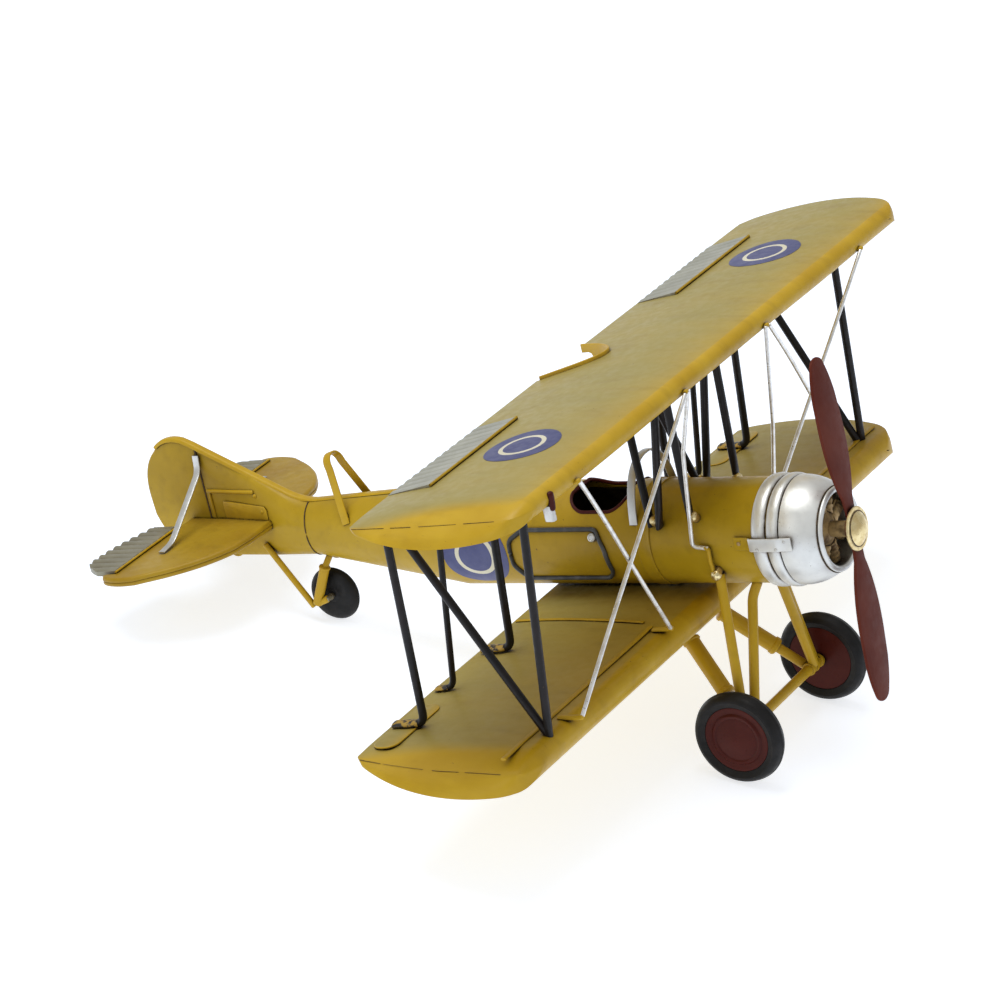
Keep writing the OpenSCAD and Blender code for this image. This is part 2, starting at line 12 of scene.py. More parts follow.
import bmesh
import bpy
from mathutils import Matrix, Vector, noise


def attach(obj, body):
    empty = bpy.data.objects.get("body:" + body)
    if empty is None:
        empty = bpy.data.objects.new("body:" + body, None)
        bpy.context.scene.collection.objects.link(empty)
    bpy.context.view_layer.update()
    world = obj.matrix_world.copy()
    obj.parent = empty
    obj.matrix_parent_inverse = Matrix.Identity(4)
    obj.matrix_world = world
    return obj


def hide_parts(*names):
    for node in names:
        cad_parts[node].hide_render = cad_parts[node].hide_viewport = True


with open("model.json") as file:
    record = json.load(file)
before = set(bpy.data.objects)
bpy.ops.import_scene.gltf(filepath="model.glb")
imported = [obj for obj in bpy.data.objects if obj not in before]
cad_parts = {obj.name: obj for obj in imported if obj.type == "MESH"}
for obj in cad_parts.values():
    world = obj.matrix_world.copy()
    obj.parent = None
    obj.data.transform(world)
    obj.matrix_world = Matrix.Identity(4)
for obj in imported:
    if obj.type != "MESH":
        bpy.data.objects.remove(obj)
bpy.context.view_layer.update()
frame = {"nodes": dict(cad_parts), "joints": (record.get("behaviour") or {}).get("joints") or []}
joints = {j["name"]: j for j in frame["joints"]}
shaft = joints["propeller_spin"]
NOSE_UP = math.atan2(shaft["axis"][2], shaft["axis"][0])
AIRCRAFT = (
    Matrix.Translation(shaft["pos_m"])
    @ Matrix.Rotation(-NOSE_UP, 4, "Y")
    @ Matrix.Scale(0.001, 4)
)
draws = random.Random(11)
AHEAD, PORT, UP = (1, 0, 0), (0, 1, 0), (0, 0, 1)

# ---------- sizes in millimetres, shares and angles ----------
SHEET = 0.8
FUSE_R = 19.8
TAPER_X = -168.0
SEAM_X = -239.0
COWL_X = -22.6
TAIL_HALF_W = 8.6
TAIL_HALF_H = 11.4
TAIL_Z = 3.4
RUDDER_X = -288.0
HALF_SPAN = 155.0
TIP_BULGE = 8.3
TIP_DROOP_SHARE = 0.4
TOP_WING = {"nose": (-43.4, 70), "r": 4, "mid": (-72, 76, 60.8), "rear": (-111, 68.3, 67.3), "corner": 11}
LOW_WING = {"nose": (-66.3, -27.1), "r": 5.5, "mid": (-102, -18.6, -33.5), "rear": (-132.4, -20.6, -21.6),
            "corner": 12}
CUTOUT_X, CUTOUT_SPREAD = -88.8, 13.6
STRUT_R = 1.55
WIRE_R = 0.8
PAINT = 0.06
AILERON_X = -92.8
HINGE_X = -298.0
GROOVE_SHARE = 0.3
TAILPLANE_TOP, TAILPLANE_BOTTOM = 8.4, 4.6
BLADE_TIP = 66.0
BLADE_HALF_W = 8.7
BLADE_REST = math.radians(4)
BLADE_LEAN, LOWER_BLADE_LEAN, LOWER_BLADE_TURN = math.radians(3.6), math.radians(2), math.radians(3.6)
HOOP_LEAN = math.radians(17)
DENT_SIZE, DENT_DEPTH = 34, 0.28


def axle_of(joint):
    """The centre of a wheel's joint, in aircraft axes."""
    return AIRCRAFT.inverted() @ Vector(joints[joint]["pos_m"])


# ---------- camera, light and floor ----------
CAMERA_AZIMUTH, CAMERA_ELEVATION = math.radians(29.187), math.radians(26.8)
CAMERA_DISTANCE = 1.728
CAMERA_TARGET = Vector(shaft["pos_m"]) + Vector((-0.1498, 0, -0.02522))
CAMERA_LENS = 162.33


def make_camera():
    data = bpy.data.cameras.new("camera")
    data.lens = CAMERA_LENS
    data.sensor_width = 36
    data.clip_start, data.clip_end = 0.05, 30
    camera = bpy.data.objects.new("camera", data)
    back = Vector((
        math.sin(CAMERA_AZIMUTH) * math.cos(CAMERA_ELEVATION),
        -math.cos(CAMERA_AZIMUTH) * math.cos(CAMERA_ELEVATION),
        math.sin(CAMERA_ELEVATION),
    ))
    camera.location = CAMERA_TARGET + back * CAMERA_DISTANCE
    camera.rotation_mode = "QUATERNION"
    camera.rotation_quaternion = (-back).to_track_quat("-Z", "Y")
    bpy.context.scene.collection.objects.link(camera)
    bpy.context.scene.camera = camera


FLOOR_GLOW = 0.7
FLOOR_BASE = (0.52, 0.6, 0.76, 1)


def make_light(name, place, size, watts):
    data = bpy.data.lights.new(name, "AREA")
    data.shape = "DISK"
    data.size = size
    data.energy = watts
    light = bpy.data.objects.new(name, data)
    light.location = place
    light.rotation_mode = "QUATERNION"
    light.rotation_quaternion = (Vector((0, 0, 0.07)) - Vector(place)).to_track_quat("-Z", "Y")
    bpy.context.scene.collection.objects.link(light)


def make_studio():
    world = bpy.data.worlds.new("studio")
    world.use_nodes = True
    background = world.node_tree.nodes["Background"]
    background.inputs["Color"].default_value = (1, 1, 1, 1)
    background.inputs["Strength"].default_value = 0.5
    bpy.context.scene.world = world
    make_light("overhead", (-0.3, -0.05, 1.35), 1.0, 10.5)
    make_light("side_fill", (-0.3, -1.5, 0.8), 0.9, 2.2)
    mesh = bpy.data.meshes.new("floor")
    reach = 6.0
    mesh.from_pydata([(-reach, -reach, 0), (reach, -reach, 0), (reach, reach, 0), (-reach, reach, 0)],
                     [], [(0, 1, 2, 3)])
    floor = bpy.data.objects.new("floor", mesh)
    bpy.context.scene.collection.objects.link(floor)
    white = bpy.data.materials.new("floor_white")
    white.use_nodes = True
    shader = white.node_tree.nodes["Principled BSDF"]
    shader.inputs["Base Color"].default_value = FLOOR_BASE
    shader.inputs["Roughness"].default_value = 0.8
    shader.inputs["Specular IOR Level"].default_value = 0.1
    shader.inputs["Emission Color"].default_value = (1, 1, 1, 1)
    shader.inputs["Emission Strength"].default_value = FLOOR_GLOW
    mesh.materials.append(white)
    bpy.context.scene.view_settings.view_transform = "Standard"


# ---------- materials ----------
class Nodes:
    """A short way to write a material's node tree."""

    def __init__(self, name):
        self.material = bpy.data.materials.new(name)
        self.material.use_nodes = True
        self.tree = self.material.node_tree
        self.shader = self.tree.nodes["Principled BSDF"]
        self.place = self.add("ShaderNodeTexCoord").outputs["Object"]

    def add(self, kind, **settings):
        node = self.tree.nodes.new(kind)
        for key, value in settings.items():
            setattr(node, key, value)
        return node

    def put(self, socket, value):
        if isinstance(value, bpy.types.NodeSocket):
            self.tree.links.new(value, socket)
        elif isinstance(value, tuple) and len(value) == 3 and socket.type == "RGBA":
            socket.default_value = (*value, 1)
        else:
            socket.default_value = value

    def noise(self, scale, detail=4.0, stretch=(1, 1, 1)):
        """Noise, 0 to 1, with scale features to the metre."""
        mapping = self.add("ShaderNodeMapping")
        mapping.inputs["Scale"].default_value = stretch
        mapping.inputs["Rotation"].default_value = (0, NOSE_UP, 0)
        self.put(mapping.inputs["Vector"], self.place)
        texture = self.add("ShaderNodeTexNoise")
        texture.inputs["Scale"].default_value = scale
        texture.inputs["Detail"].default_value = detail
        texture.inputs["Roughness"].default_value = 0.55
        self.put(texture.inputs["Vector"], mapping.outputs[0])
        return texture.outputs["Fac"]

    def band(self, value, low, high, out_low=0.0, out_high=1.0):
        """value from low to high becomes out_low to out_high, smoothly and clamped."""
        node = self.add("ShaderNodeMapRange", interpolation_type="SMOOTHSTEP")
        for socket, given in zip(node.inputs, (value, low, high, out_low, out_high)):
            self.put(socket, given)
        return node.outputs[0]

    def product(self, a, b):
        node = self.add("ShaderNodeMath", operation="MULTIPLY", use_clamp=True)
        self.put(node.inputs[0], a)
        self.put(node.inputs[1], b)
        return node.outputs[0]

    def mix(self, share, a, b):
        node = self.add("ShaderNodeMix", data_type="RGBA")
        self.put(node.inputs["Factor"], share)
        self.put(node.inputs[6], a)
        self.put(node.inputs[7], b)
        return node.outputs[2]

    def crevice(self, reach, low, high):
        """1 in corners and under laps closer than reach metres, 0 in the open."""
        node = self.add("ShaderNodeAmbientOcclusion", samples=6)
        node.inputs["Distance"].default_value = reach
        return self.band(node.outputs["AO"], low, high, 1.0, 0.0)

    def facing_up(self, low, high):
        """1 on the flat backs of wings and fuselage, less towards their noses: where the painted sheen of the
        light overhead goes.
        """
        geometry = self.add("ShaderNodeNewGeometry")
        lean = self.add("ShaderNodeVectorMath", operation="DOT_PRODUCT")
        self.put(lean.inputs[0], geometry.outputs["Normal"])
        lean.inputs[1].default_value = (-math.sin(NOSE_UP + SHEEN_LEAN), 0, math.cos(NOSE_UP + SHEEN_LEAN))
        return self.band(lean.outputs["Value"], low, high)

    def bump(self, height, metres, strength=1.0, under=None):
        node = self.add("ShaderNodeBump")
        node.inputs["Strength"].default_value = strength
        node.inputs["Distance"].default_value = metres
        self.put(node.inputs["Height"], height)
        if under is not None:
            self.put(node.inputs["Normal"], under)
        return node.outputs[0]

    def finish(self, slot, **inputs):
        """Sets the shader's sockets by name, and returns the finish."""
        for key, value in inputs.items():
            self.put(self.shader.inputs[key.replace("_", " ")], value)
        return {"material": self.material, "slot": slot}


# Near-black brown for the tightest corners and contact lines: painted shade and dirt.
SHADE_AND_DIRT = (0.016, 0.009, 0.004)
# The lean and the khaki colour below paint a sheen on upward faces: the pale reflection of the light overhead.
SHEEN_LEAN = math.radians(10)
SHEEN_KHAKI = (0.335, 0.277, 0.085)


def painted_tin(name, base, pale, wash_and_shade, sheen_share, streak=(1, 1, 1)):
    """Brushed enamel with an antique wash and painted shade in its corners, a few specks, a painted khaki sheen
    on its upward faces and a soft sheen from its coat.
    """
    n = Nodes(name)
    broad = n.band(n.noise(38, 3), 0.35, 0.68)
    colour = n.mix(broad, base, pale)
    # Painted sheen: khaki on the upward faces, where the light overhead reflects, broken up by noise.
    cloudy = n.band(n.noise(55, 3, streak), 0.2, 0.7, 0.82, 1.0)
    painted_sheen = n.product(n.facing_up(0.945, 0.995), cloudy)
    colour = n.mix(n.product(painted_sheen, sheen_share), colour, SHEEN_KHAKI)
    streaks = n.band(n.noise(150, 5, streak), 0.46, 0.78)
    colour = n.mix(n.product(streaks, 0.24), colour, wash_and_shade)
    # Painted shade and an antique wash: the wash colour mixed in patches where the ambient occlusion finds
    # corners.
    patchy = n.band(n.noise(210, 4), 0.25, 0.7, 0.18, 0.62)
    colour = n.mix(n.product(n.crevice(0.009, 0.45, 0.95), patchy), colour, wash_and_shade)
    # Thin near-black lines where parts meet and lap: painted shade and ink.
    ink_and_shade = n.product(n.crevice(0.0016, 0.42, 0.72), n.band(n.noise(420, 4), 0.28, 0.5, 0.35, 1.0))
    colour = n.mix(ink_and_shade, colour, SHADE_AND_DIRT)
    specks = n.product(n.band(n.noise(900, 2), 0.72, 0.77), n.band(n.noise(90, 2), 0.42, 0.62))
    colour = n.mix(specks, colour, (0.05, 0.026, 0.008))
    rough = n.band(n.noise(320, 4), 0.3, 0.7, 0.33, 0.47)
    lumps = n.bump(n.noise(75, 2), 0.0006, 0.5)
    skin = n.bump(n.noise(1500, 3, streak), 0.00006, 0.55, lumps)
    return n.finish("yellow_enamel", Base_Color=colour, Roughness=rough, Normal=skin,
                    Specular_IOR_Level=0.22, Coat_Weight=0.06, Coat_Roughness=0.3)


def silver_paint(name, base, grime, share, rough_low, rough_high, metallic):
    """Aluminium paint gone grey, with brown dirt in its grooves and painted shade where parts touch."""
    n = Nodes(name)
    cloudy = n.band(n.noise(70, 4), 0.3, 0.72)
    colour = n.mix(cloudy, base, tuple(c * 0.8 for c in base))
    flecks = n.band(n.noise(1500, 3), 0.66, 0.78)
    colour = n.mix(n.product(flecks, 0.55), colour, grime)
    rust = n.product(n.crevice(0.0036, 0.5, 0.97), n.band(n.noise(260, 4), 0.3, 0.6, 0.32, 1.0))
    colour = n.mix(n.product(rust, share), colour, grime)
    # Painted shade: near black where parts touch.
    colour = n.mix(n.crevice(0.001, 0.3, 0.6), colour, SHADE_AND_DIRT)
    rough = n.band(n.noise(500, 4), 0.3, 0.7, rough_low, rough_high)
    lumps = n.bump(n.noise(60, 2), 0.0008, 0.4)
    skin = n.bump(n.noise(1700, 3), 0.00005, 0.6, lumps)
    return n.finish("silver_paint", Base_Color=colour, Metallic=metallic, Roughness=rough, Normal=skin)


def bright_wire():
    n = Nodes("bright_wire_steel")
    colour = n.mix(n.band(n.noise(240, 4), 0.4, 0.7), (0.86, 0.86, 0.84), (0.68, 0.66, 0.61))
    colour = n.mix(n.band(n.noise(1300, 2), 0.74, 0.8, 0.0, 0.6), colour, (0.3, 0.2, 0.1))
    # Painted shade: dark brown where the wire meets other parts.
    colour = n.mix(n.crevice(0.0014, 0.35, 0.8), colour, (0.09, 0.05, 0.02))
    rough = n.band(n.noise(500, 4), 0.3, 0.7, 0.26, 0.44)
    return n.finish("bright_wire", Base_Color=colour, Metallic=0.7, Roughness=rough,
                    Normal=n.bump(n.noise(1600, 3), 0.00006, 0.5))


def maroon_enamel(name, base, pale, rough_low, rough_high, coat):
    n = Nodes(name)
    colour = n.mix(n.band(n.noise(60, 4), 0.3, 0.7), base, pale)
    colour = n.mix(n.band(n.noise(1100, 3), 0.68, 0.8, 0.0, 0.5), colour, (0.03, 0.012, 0.01))
    # Painted shade: near black in corners and where parts meet.
    colour = n.mix(n.crevice(0.002, 0.4, 0.85), colour, (0.012, 0.005, 0.004))
    rough = n.band(n.noise(300, 4), 0.3, 0.7, rough_low, rough_high)
    skin = n.bump(n.noise(1400, 3), 0.00006, 0.6, n.bump(n.noise(110, 2), 0.0005, 0.4))
    return n.finish("maroon_enamel", Base_Color=colour, Roughness=rough, Normal=skin,
                    Specular_IOR_Level=0.05, Coat_Weight=coat, Coat_Roughness=0.25)


def old_brass():
    n = Nodes("old_brass")
    colour = n.mix(n.band(n.noise(210, 5), 0.35, 0.65), (0.85, 0.72, 0.4), (0.68, 0.52, 0.24))
    colour = n.mix(n.band(n.noise(700, 4), 0.58, 0.76, 0.0, 0.7), colour, (0.19, 0.11, 0.045))
    # Dark brown in the hollows: patina and painted shade.
    colour = n.mix(n.crevice(0.0022, 0.35, 0.9), colour, (0.05, 0.028, 0.01))
    rough = n.band(n.noise(420, 4), 0.3, 0.7, 0.24, 0.46)
    skin = n.bump(n.noise(900, 3), 0.0001, 0.6, n.bump(n.noise(260, 2), 0.0004, 0.5))
    return n.finish("brass", Base_Color=colour, Metallic=0.95, Roughness=rough, Normal=skin)


def dark_enamel(name, base, sheen, rough_low=0.3, rough_high=0.5):
    n = Nodes(name)
    colour = n.mix(n.band(n.noise(180, 4, (1, 1, 0.2)), 0.4, 0.72), base, sheen)
    colour = n.mix(n.band(n.noise(1300, 3), 0.71, 0.8, 0.0, 0.7), colour, (0.2, 0.12, 0.03))
    rough = n.band(n.noise(400, 4), 0.3, 0.7, rough_low, rough_high)
    skin = n.bump(n.noise(1300, 3), 0.00007, 0.6, n.bump(n.noise(170, 2), 0.0005, 0.5))
    return n.finish("dark_enamel", Base_Color=colour, Roughness=rough, Normal=skin,
                    Specular_IOR_Level=0.25, Coat_Weight=0.04, Coat_Roughness=0.25)


def chipped_foot():
    """Black worn through to yellow, on the flattened feet of the rear struts."""
    n = Nodes("chipped_foot_paint")
    worn = n.band(n.noise(520, 5), 0.44, 0.54)
    colour = n.mix(worn, (0.02, 0.018, 0.016), (0.42, 0.26, 0.03))
    # Painted shade and dirt: near black where the feet meet the wing.
    colour = n.mix(n.crevice(0.0016, 0.4, 0.8), colour, SHADE_AND_DIRT)
    return n.finish("dark_enamel", Base_Color=colour, Roughness=n.band(n.noise(400), 0.3, 0.7, 0.34, 0.55),
                    Normal=n.bump(worn, 0.00008, 0.7))


def bronze_paint(name, dull, bright):
    n = Nodes(name)
    colour = n.mix(n.band(n.noise(190, 5), 0.36, 0.62), dull, bright)
    colour = n.mix(n.band(n.noise(800, 3), 0.6, 0.75), colour, (0.45, 0.33, 0.17))
    # Painted shade: near black deep in the hollows of the engine and cowl.
    colour = n.mix(n.crevice(0.004, 0.3, 0.9), colour, (0.008, 0.005, 0.003))
    return n.finish("bronze_paint", Base_Color=colour, Metallic=0.15,
                    Roughness=n.band(n.noise(500), 0.3, 0.7, 0.42, 0.66),
                    Normal=n.bump(n.noise(700, 4), 0.00025, 0.7))


def tyre_rubber():
    n = Nodes("tyre_rubber")
    colour = n.mix(n.band(n.noise(150, 4), 0.35, 0.7), (0.006, 0.006, 0.006), (0.013, 0.012, 0.012))
    colour = n.mix(n.band(n.noise(1200, 3), 0.66, 0.8, 0.0, 0.5), colour, (0.035, 0.03, 0.027))
    return n.finish("rubber", Base_Color=colour, Roughness=n.band(n.noise(350), 0.3, 0.7, 0.42, 0.6),
                    Specular_IOR_Level=0.22, Normal=n.bump(n.noise(1800, 3), 0.00008, 0.6))


def dirt_line():
    """The dark wash that has dried along a seam."""
    n = Nodes("seam_wash")
    colour = n.mix(n.band(n.noise(600), 0.4, 0.65), (0.035, 0.02, 0.008), (0.11, 0.06, 0.015))
    return n.finish("yellow_enamel", Base_Color=colour, Roughness=0.7,
                    Normal=n.bump(n.noise(1500), 0.0001, 0.5))


def decal(name, base, pale):
    n = Nodes(name)
    colour = n.mix(n.band(n.noise(120, 4), 0.3, 0.7), base, pale)
    colour = n.mix(n.band(n.noise(1400, 3), 0.66, 0.8, 0.0, 0.5), colour, (0.3, 0.22, 0.09))
    return n.finish("yellow_enamel", Base_Color=colour, Roughness=n.band(n.noise(300), 0.3, 0.7, 0.36, 0.5),
                    Normal=n.bump(n.noise(1500), 0.00006, 0.5), Coat_Weight=0.15, Coat_Roughness=0.3)


CHORDWISE = (0.22, 1, 1)
YELLOW, YELLOW_PALE, YELLOW_WASH_AND_SHADE = (0.48, 0.292, 0.009), (0.55, 0.35, 0.018), (0.2, 0.115, 0.009)
# Copies of one yellow. The number after the colours is the share of painted sheen each takes; the body and tail
# copies are also set darker.
wing_yellow = painted_tin("wing_yellow", YELLOW, YELLOW_PALE, YELLOW_WASH_AND_SHADE, 1.0, CHORDWISE)
body_yellow = painted_tin("body_yellow", (0.4, 0.252, 0.007), (0.47, 0.3, 0.011), (0.15, 0.085, 0.007), 0.6)
tail_yellow = painted_tin("tail_yellow", (0.33, 0.19, 0.006), (0.4, 0.25, 0.012), (0.12, 0.065, 0.006), 0.1)
trim_yellow = painted_tin("trim_yellow", (0.48, 0.29, 0.008), (0.54, 0.34, 0.014), YELLOW_WASH_AND_SHADE, 0.15)
cowl_silver = silver_paint("cowl_silver", (0.8, 0.81, 0.78), (0.13, 0.075, 0.04), 0.85, 0.3, 0.42, 0.55)
sheet_silver = silver_paint("sheet_silver", (0.45, 0.45, 0.375), (0.12, 0.075, 0.035), 0.8, 0.4, 0.55, 0.5)
grimy_silver = silver_paint("grimy_silver", (0.3, 0.28, 0.2), (0.12, 0.075, 0.035), 0.85, 0.4, 0.55, 0.5)
fitting_silver = silver_paint("fitting_silver", (0.66, 0.66, 0.63), (0.14, 0.09, 0.04), 0.5, 0.3, 0.46, 0.82)
steel = bright_wire()
blade_maroon = maroon_enamel("blade_maroon", (0.1, 0.02, 0.012), (0.13, 0.03, 0.018), 0.36, 0.5, 0.02)
disc_maroon = maroon_enamel("disc_maroon", (0.055, 0.009, 0.007), (0.075, 0.014, 0.01), 0.26, 0.4, 0.12)
brass = old_brass()
strut_black = dark_enamel("strut_black", (0.006, 0.0055, 0.0055), (0.014, 0.009, 0.0085))
door_steel = dark_enamel("door_steel", (0.05, 0.053, 0.055), (0.11, 0.11, 0.11), 0.28, 0.42)
foot_paint = chipped_foot()
# The dark of the cockpit sheet is painted shade.
cockpit_painted_shade = dark_enamel("cockpit_painted_shade", (0.012, 0.01, 0.005), (0.03, 0.022, 0.008), 0.5, 0.7)
bronze = bronze_paint("mottled_bronze", (0.16, 0.095, 0.035), (0.52, 0.35, 0.14))
engine_bronze = bronze_paint("engine_bronze", (0.2, 0.12, 0.045), (0.85, 0.62, 0.3))
rubber = tyre_rubber()
seam_wash = dirt_line()
decal_blue = decal("decal_blue", (0.033, 0.04, 0.15), (0.06, 0.068, 0.19))
decal_cream = decal("decal_cream", (0.62, 0.58, 0.42), (0.7, 0.66, 0.5))


# ---------- shapes ----------
class Shape:
    """Points in aircraft millimetres and the faces between them."""

    def __init__(self, points=(), faces=()):
        self.points = [Vector(p) for p in points]
        self.faces = [tuple(f) for f in faces]

    def __add__(self, other):
        shift = len(self.points)
        faces = [tuple(i + shift for i in f) for f in other.faces]
        return Shape(self.points + other.points, self.faces + faces)

    def mirrored(self):
        return Shape([(p.x, -p.y, p.z) for p in self.points], [f[::-1] for f in self.faces])

    def both(self):
        return self + self.mirrored()

    def moved(self, matrix):
        return Shape([matrix @ p for p in self.points], self.faces)


def combined(shapes):
    total = Shape()
    for s in shapes:
        total = total + s
    return total


def make_mesh(name, shape, sharp=38):
    mesh = bpy.data.meshes.new(name)
    mesh.from_pydata([AIRCRAFT @ p for p in shape.points], [], shape.faces)
    tidy_mesh(mesh, sharp)
    return mesh


def tidy_mesh(mesh, sharp):
    """Welds the points, turns the faces outwards and smooths all but the sharp edges."""
    bm = bmesh.new()
    bm.from_mesh(mesh)
    bmesh.ops.remove_doubles(bm, verts=bm.verts, dist=2e-6)
    bmesh.ops.dissolve_degenerate(bm, edges=bm.edges, dist=1e-6)
    bmesh.ops.recalc_face_normals(bm, faces=bm.faces)
    for face in bm.faces:
        face.smooth = True
    for edge in bm.edges:
        edge.smooth = len(edge.link_faces) == 2 and edge.calc_face_angle(0) < math.radians(sharp)
    bm.to_mesh(mesh)
    bm.free()


def piece(name, shape, finish, replaces=(), body="airframe", bevel=0.0, sharp=38):
    """A visible piece on a body, with its finish and the CAD nodes that it stands for."""
    made = bpy.data.objects.new(name, make_mesh(name, shape, sharp))
    bpy.context.scene.collection.objects.link(made)
    made.data.materials.append(finish["material"])
    if bevel:
        round_over = made.modifiers.new("round_over", "BEVEL")
        round_over.width = bevel * 0.001
        round_over.segments = 2
        round_over.limit_method = "ANGLE"
        round_over.angle_limit = math.radians(sharp)
        round_over.harden_normals = True
    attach(made, body)
    if replaces:
        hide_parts(*replaces)
    return made


def cut(target, cutter_shape):
    """Takes the cutter's shape out of a piece."""
    cutter = bpy.data.objects.new("cutter", make_mesh("cutter", cutter_shape))
    bpy.context.scene.collection.objects.link(cutter)
    boolean = target.modifiers.new("cut", "BOOLEAN")
    boolean.operation = "DIFFERENCE"
    boolean.solver = "EXACT"
    boolean.object = cutter
    graph = bpy.context.evaluated_depsgraph_get()
    mesh = bpy.data.meshes.new_from_object(target.evaluated_get(graph))
    target.modifiers.clear()
    target.data = mesh
    bpy.data.objects.remove(cutter)
    tidy_mesh(mesh, 38)


def span(low, high, count):
    """count numbers from low to high."""
    return [low + (high - low) * i / (count - 1) for i in range(count)]


def cos_sin(degrees):
    return math.cos(math.radians(degrees)), math.sin(math.radians(degrees))


def circle(r, count, centre=(0, 0), tall=None):
    """Points round a closed circle, or an ellipse that is tall high and r wide."""
    tall = r if tall is None else tall
    return [(centre[0] + r * math.cos(t), centre[1] + tall * math.sin(t))
            for t in (math.tau * k / count for k in range(count))]


def rounded_box(half_w, half_h, r, count):
    """A rectangle's outline about zero, with count points round each corner."""
    outline = []
    for side, level, start in ((1, 1, 0), (-1, 1, 90), (-1, -1, 180), (1, -1, 270)):
        for c, s in map(cos_sin, span(start, start + 90, count)):
            outline.append(Vector((side * (half_w - r) + r * c, level * (half_h - r) + r * s)))
    return outline


def flat(points):
    """The same points without their height."""
    return [Vector((p[0], p[1])) for p in points]


def as_drawn(x, y, height):
    return Vector((x, y, height))


def read_off(stations, x):
    """A row's values at x, between the stations on either side. x falls along the row."""
    for a, b in zip(stations, stations[1:]):
        if b[0] <= x <= a[0]:
            t = (x - a[0]) / min(-1e-9, b[0] - a[0])
            return [v + (w - v) * t for v, w in zip(a[1:], b[1:])]
    return list(stations[-1][1:])


def bezier(a, b, c, count):
    a, b, c = Vector(a), Vector(b), Vector(c)
    return [a * (1 - t) ** 2 + b * 2 * t * (1 - t) + c * t * t for t in span(0, 1, count)]


def rounded(points, reach, count=7):
    """A path whose inner corners are turned over reach millimetres."""
    points = [Vector(p) for p in points]
    path = [points[0]]
    for before, corner, after in zip(points, points[1:], points[2:]):
        short = min(reach, (before - corner).length * 0.48, (after - corner).length * 0.48)
        path += bezier(corner + (before - corner).normalized() * short, corner,
                       corner + (after - corner).normalized() * short, count)
    return path + [points[-1]]


def resampled(path, step):
    """The same path with points no further apart than step."""
    path = [Vector(p) for p in path]
    dense = [path[0]]
    for a, b in zip(path, path[1:]):
        count = max(1, math.ceil((b - a).length / step))
        dense += [a.lerp(b, i / count) for i in range(1, count + 1)]
    return dense


def skin(rings, closed=True, capped=True):
    """Faces across a row of rings that have the same number of points."""
    count = len(rings[0])
    points = [p for ring in rings for p in ring]
    faces = []
    for k in range(len(rings) - 1):
        for i in range(count if closed else count - 1):
            j = (i + 1) % count
            faces.append((k * count + i, k * count + j, (k + 1) * count + j, (k + 1) * count + i))
    if capped and closed:
        faces.append(tuple(range(count))[::-1])
        faces.append(tuple((len(rings) - 1) * count + i for i in range(count)))
    return Shape(points, faces)


def along(path, i, closed=False):
    """The way a path runs at its point i."""
    after = (i + 1) % len(path) if closed else min(i + 1, len(path) - 1)
    before = i - 1 if closed else max(i - 1, 0)
    return (path[after] - path[before]).normalized()


def section(outline, centre, way, across):
    """A 2D outline set square to way at centre, its first direction as near across as it can be."""
    u = Vector(across)
    u = (u - way * u.dot(way)).normalized()
    v = way.cross(u)
    return [centre + u * a + v * b for a, b in outline]


def sweep(path, radii, across=PORT, sides=20, end=0.5):
    """A rod with rounded ends. radii is one number, or an (across, deep) pair for each point."""
    path = [Vector(p) for p in path]
    if not isinstance(radii, (list, tuple)):
        radii = [(radii, radii)] * len(path)
    rings = [section(circle(a, sides, tall=b), p, along(path, i), across)
             for i, (p, (a, b)) in enumerate(zip(path, radii))]

    def end_rings(i, outward):
        a, b = radii[i]
        way = along(path, i % len(path))
        e = min(end, a, b)
        made = []
        for c, s in map(cos_sin, (90, 68, 45, 22)):
            less = e * (1 - c) * 0.999
            centre = path[i] + way * outward * e * s
            made.append(section(circle(a - less, sides, tall=b - less), centre, way, across))
        return made

    return skin(end_rings(0, -1) + rings + end_rings(-1, 1)[::-1])


def turned(profile, centre, axis, steps, closed=False):
    """A profile of (radius, distance) spun about an axis through centre."""
    axis = Vector(axis).normalized()
    u = axis.orthogonal().normalized()
    v = axis.cross(u)
    centre = Vector(centre)
    rings = []
    for turn in range(steps):
        t = math.tau * turn / steps
        out = u * math.cos(t) + v * math.sin(t)
        rings.append([centre + axis * d + out * r for r, d in profile])
    rings.append(rings[0])
    return skin(rings, closed=closed, capped=False)


def round_shaft(profile, steps, closed=True):
    """A profile of (radius, x) spun about the propeller shaft's line."""
    return turned(profile, (0, 0, 0), AHEAD, steps, closed)


def inset_outline(outline, inset):
    """A closed 2D outline stepped inwards. It runs anticlockwise."""
    made = []
    count = len(outline)
    for i, p in enumerate(outline):
        before, after = outline[i - 1], outline[(i + 1) % count]
        d1 = (Vector(p) - Vector(before)).normalized()
        d2 = (Vector(after) - Vector(p)).normalized()
        n = Vector((-(d1.y + d2.y), d1.x + d2.x))
        n.normalize()
        made.append(Vector(p) + n * inset)
    return made


def rimmed(outline, profile, place):
    """A flat piece. Its outline is stepped inwards by each (inset, height) of the profile."""
    area = sum(Vector(a).x * Vector(b).y - Vector(b).x * Vector(a).y
               for a, b in zip(outline, outline[1:] + outline[:1]))
    outline = outline if area > 0 else outline[::-1]
    rings = [[place(q.x, q.y, height) for q in inset_outline(outline, inset)] for inset, height in profile]
    return skin(rings)


def soft_edge(low, high, r):
    """The profile of a sheet whose edges are rounded."""
    corner = [(r * (1 - s), r * (1 - c)) for c, s in map(cos_sin, (0, 30, 60, 90))]
    return [(a, low + b) for a, b in corner] + [(a, high - b) for a, b in corner[::-1]]


def strap(path, width, thick, across=AHEAD):
    """Flat strip with softened edges, bent along a path."""
    path = [Vector(p) for p in path]
    outline = rounded_box(width / 2, thick / 2, thick * 0.42, 4)
    return skin([section(outline, p, along(path, i), across) for i, p in enumerate(path)])


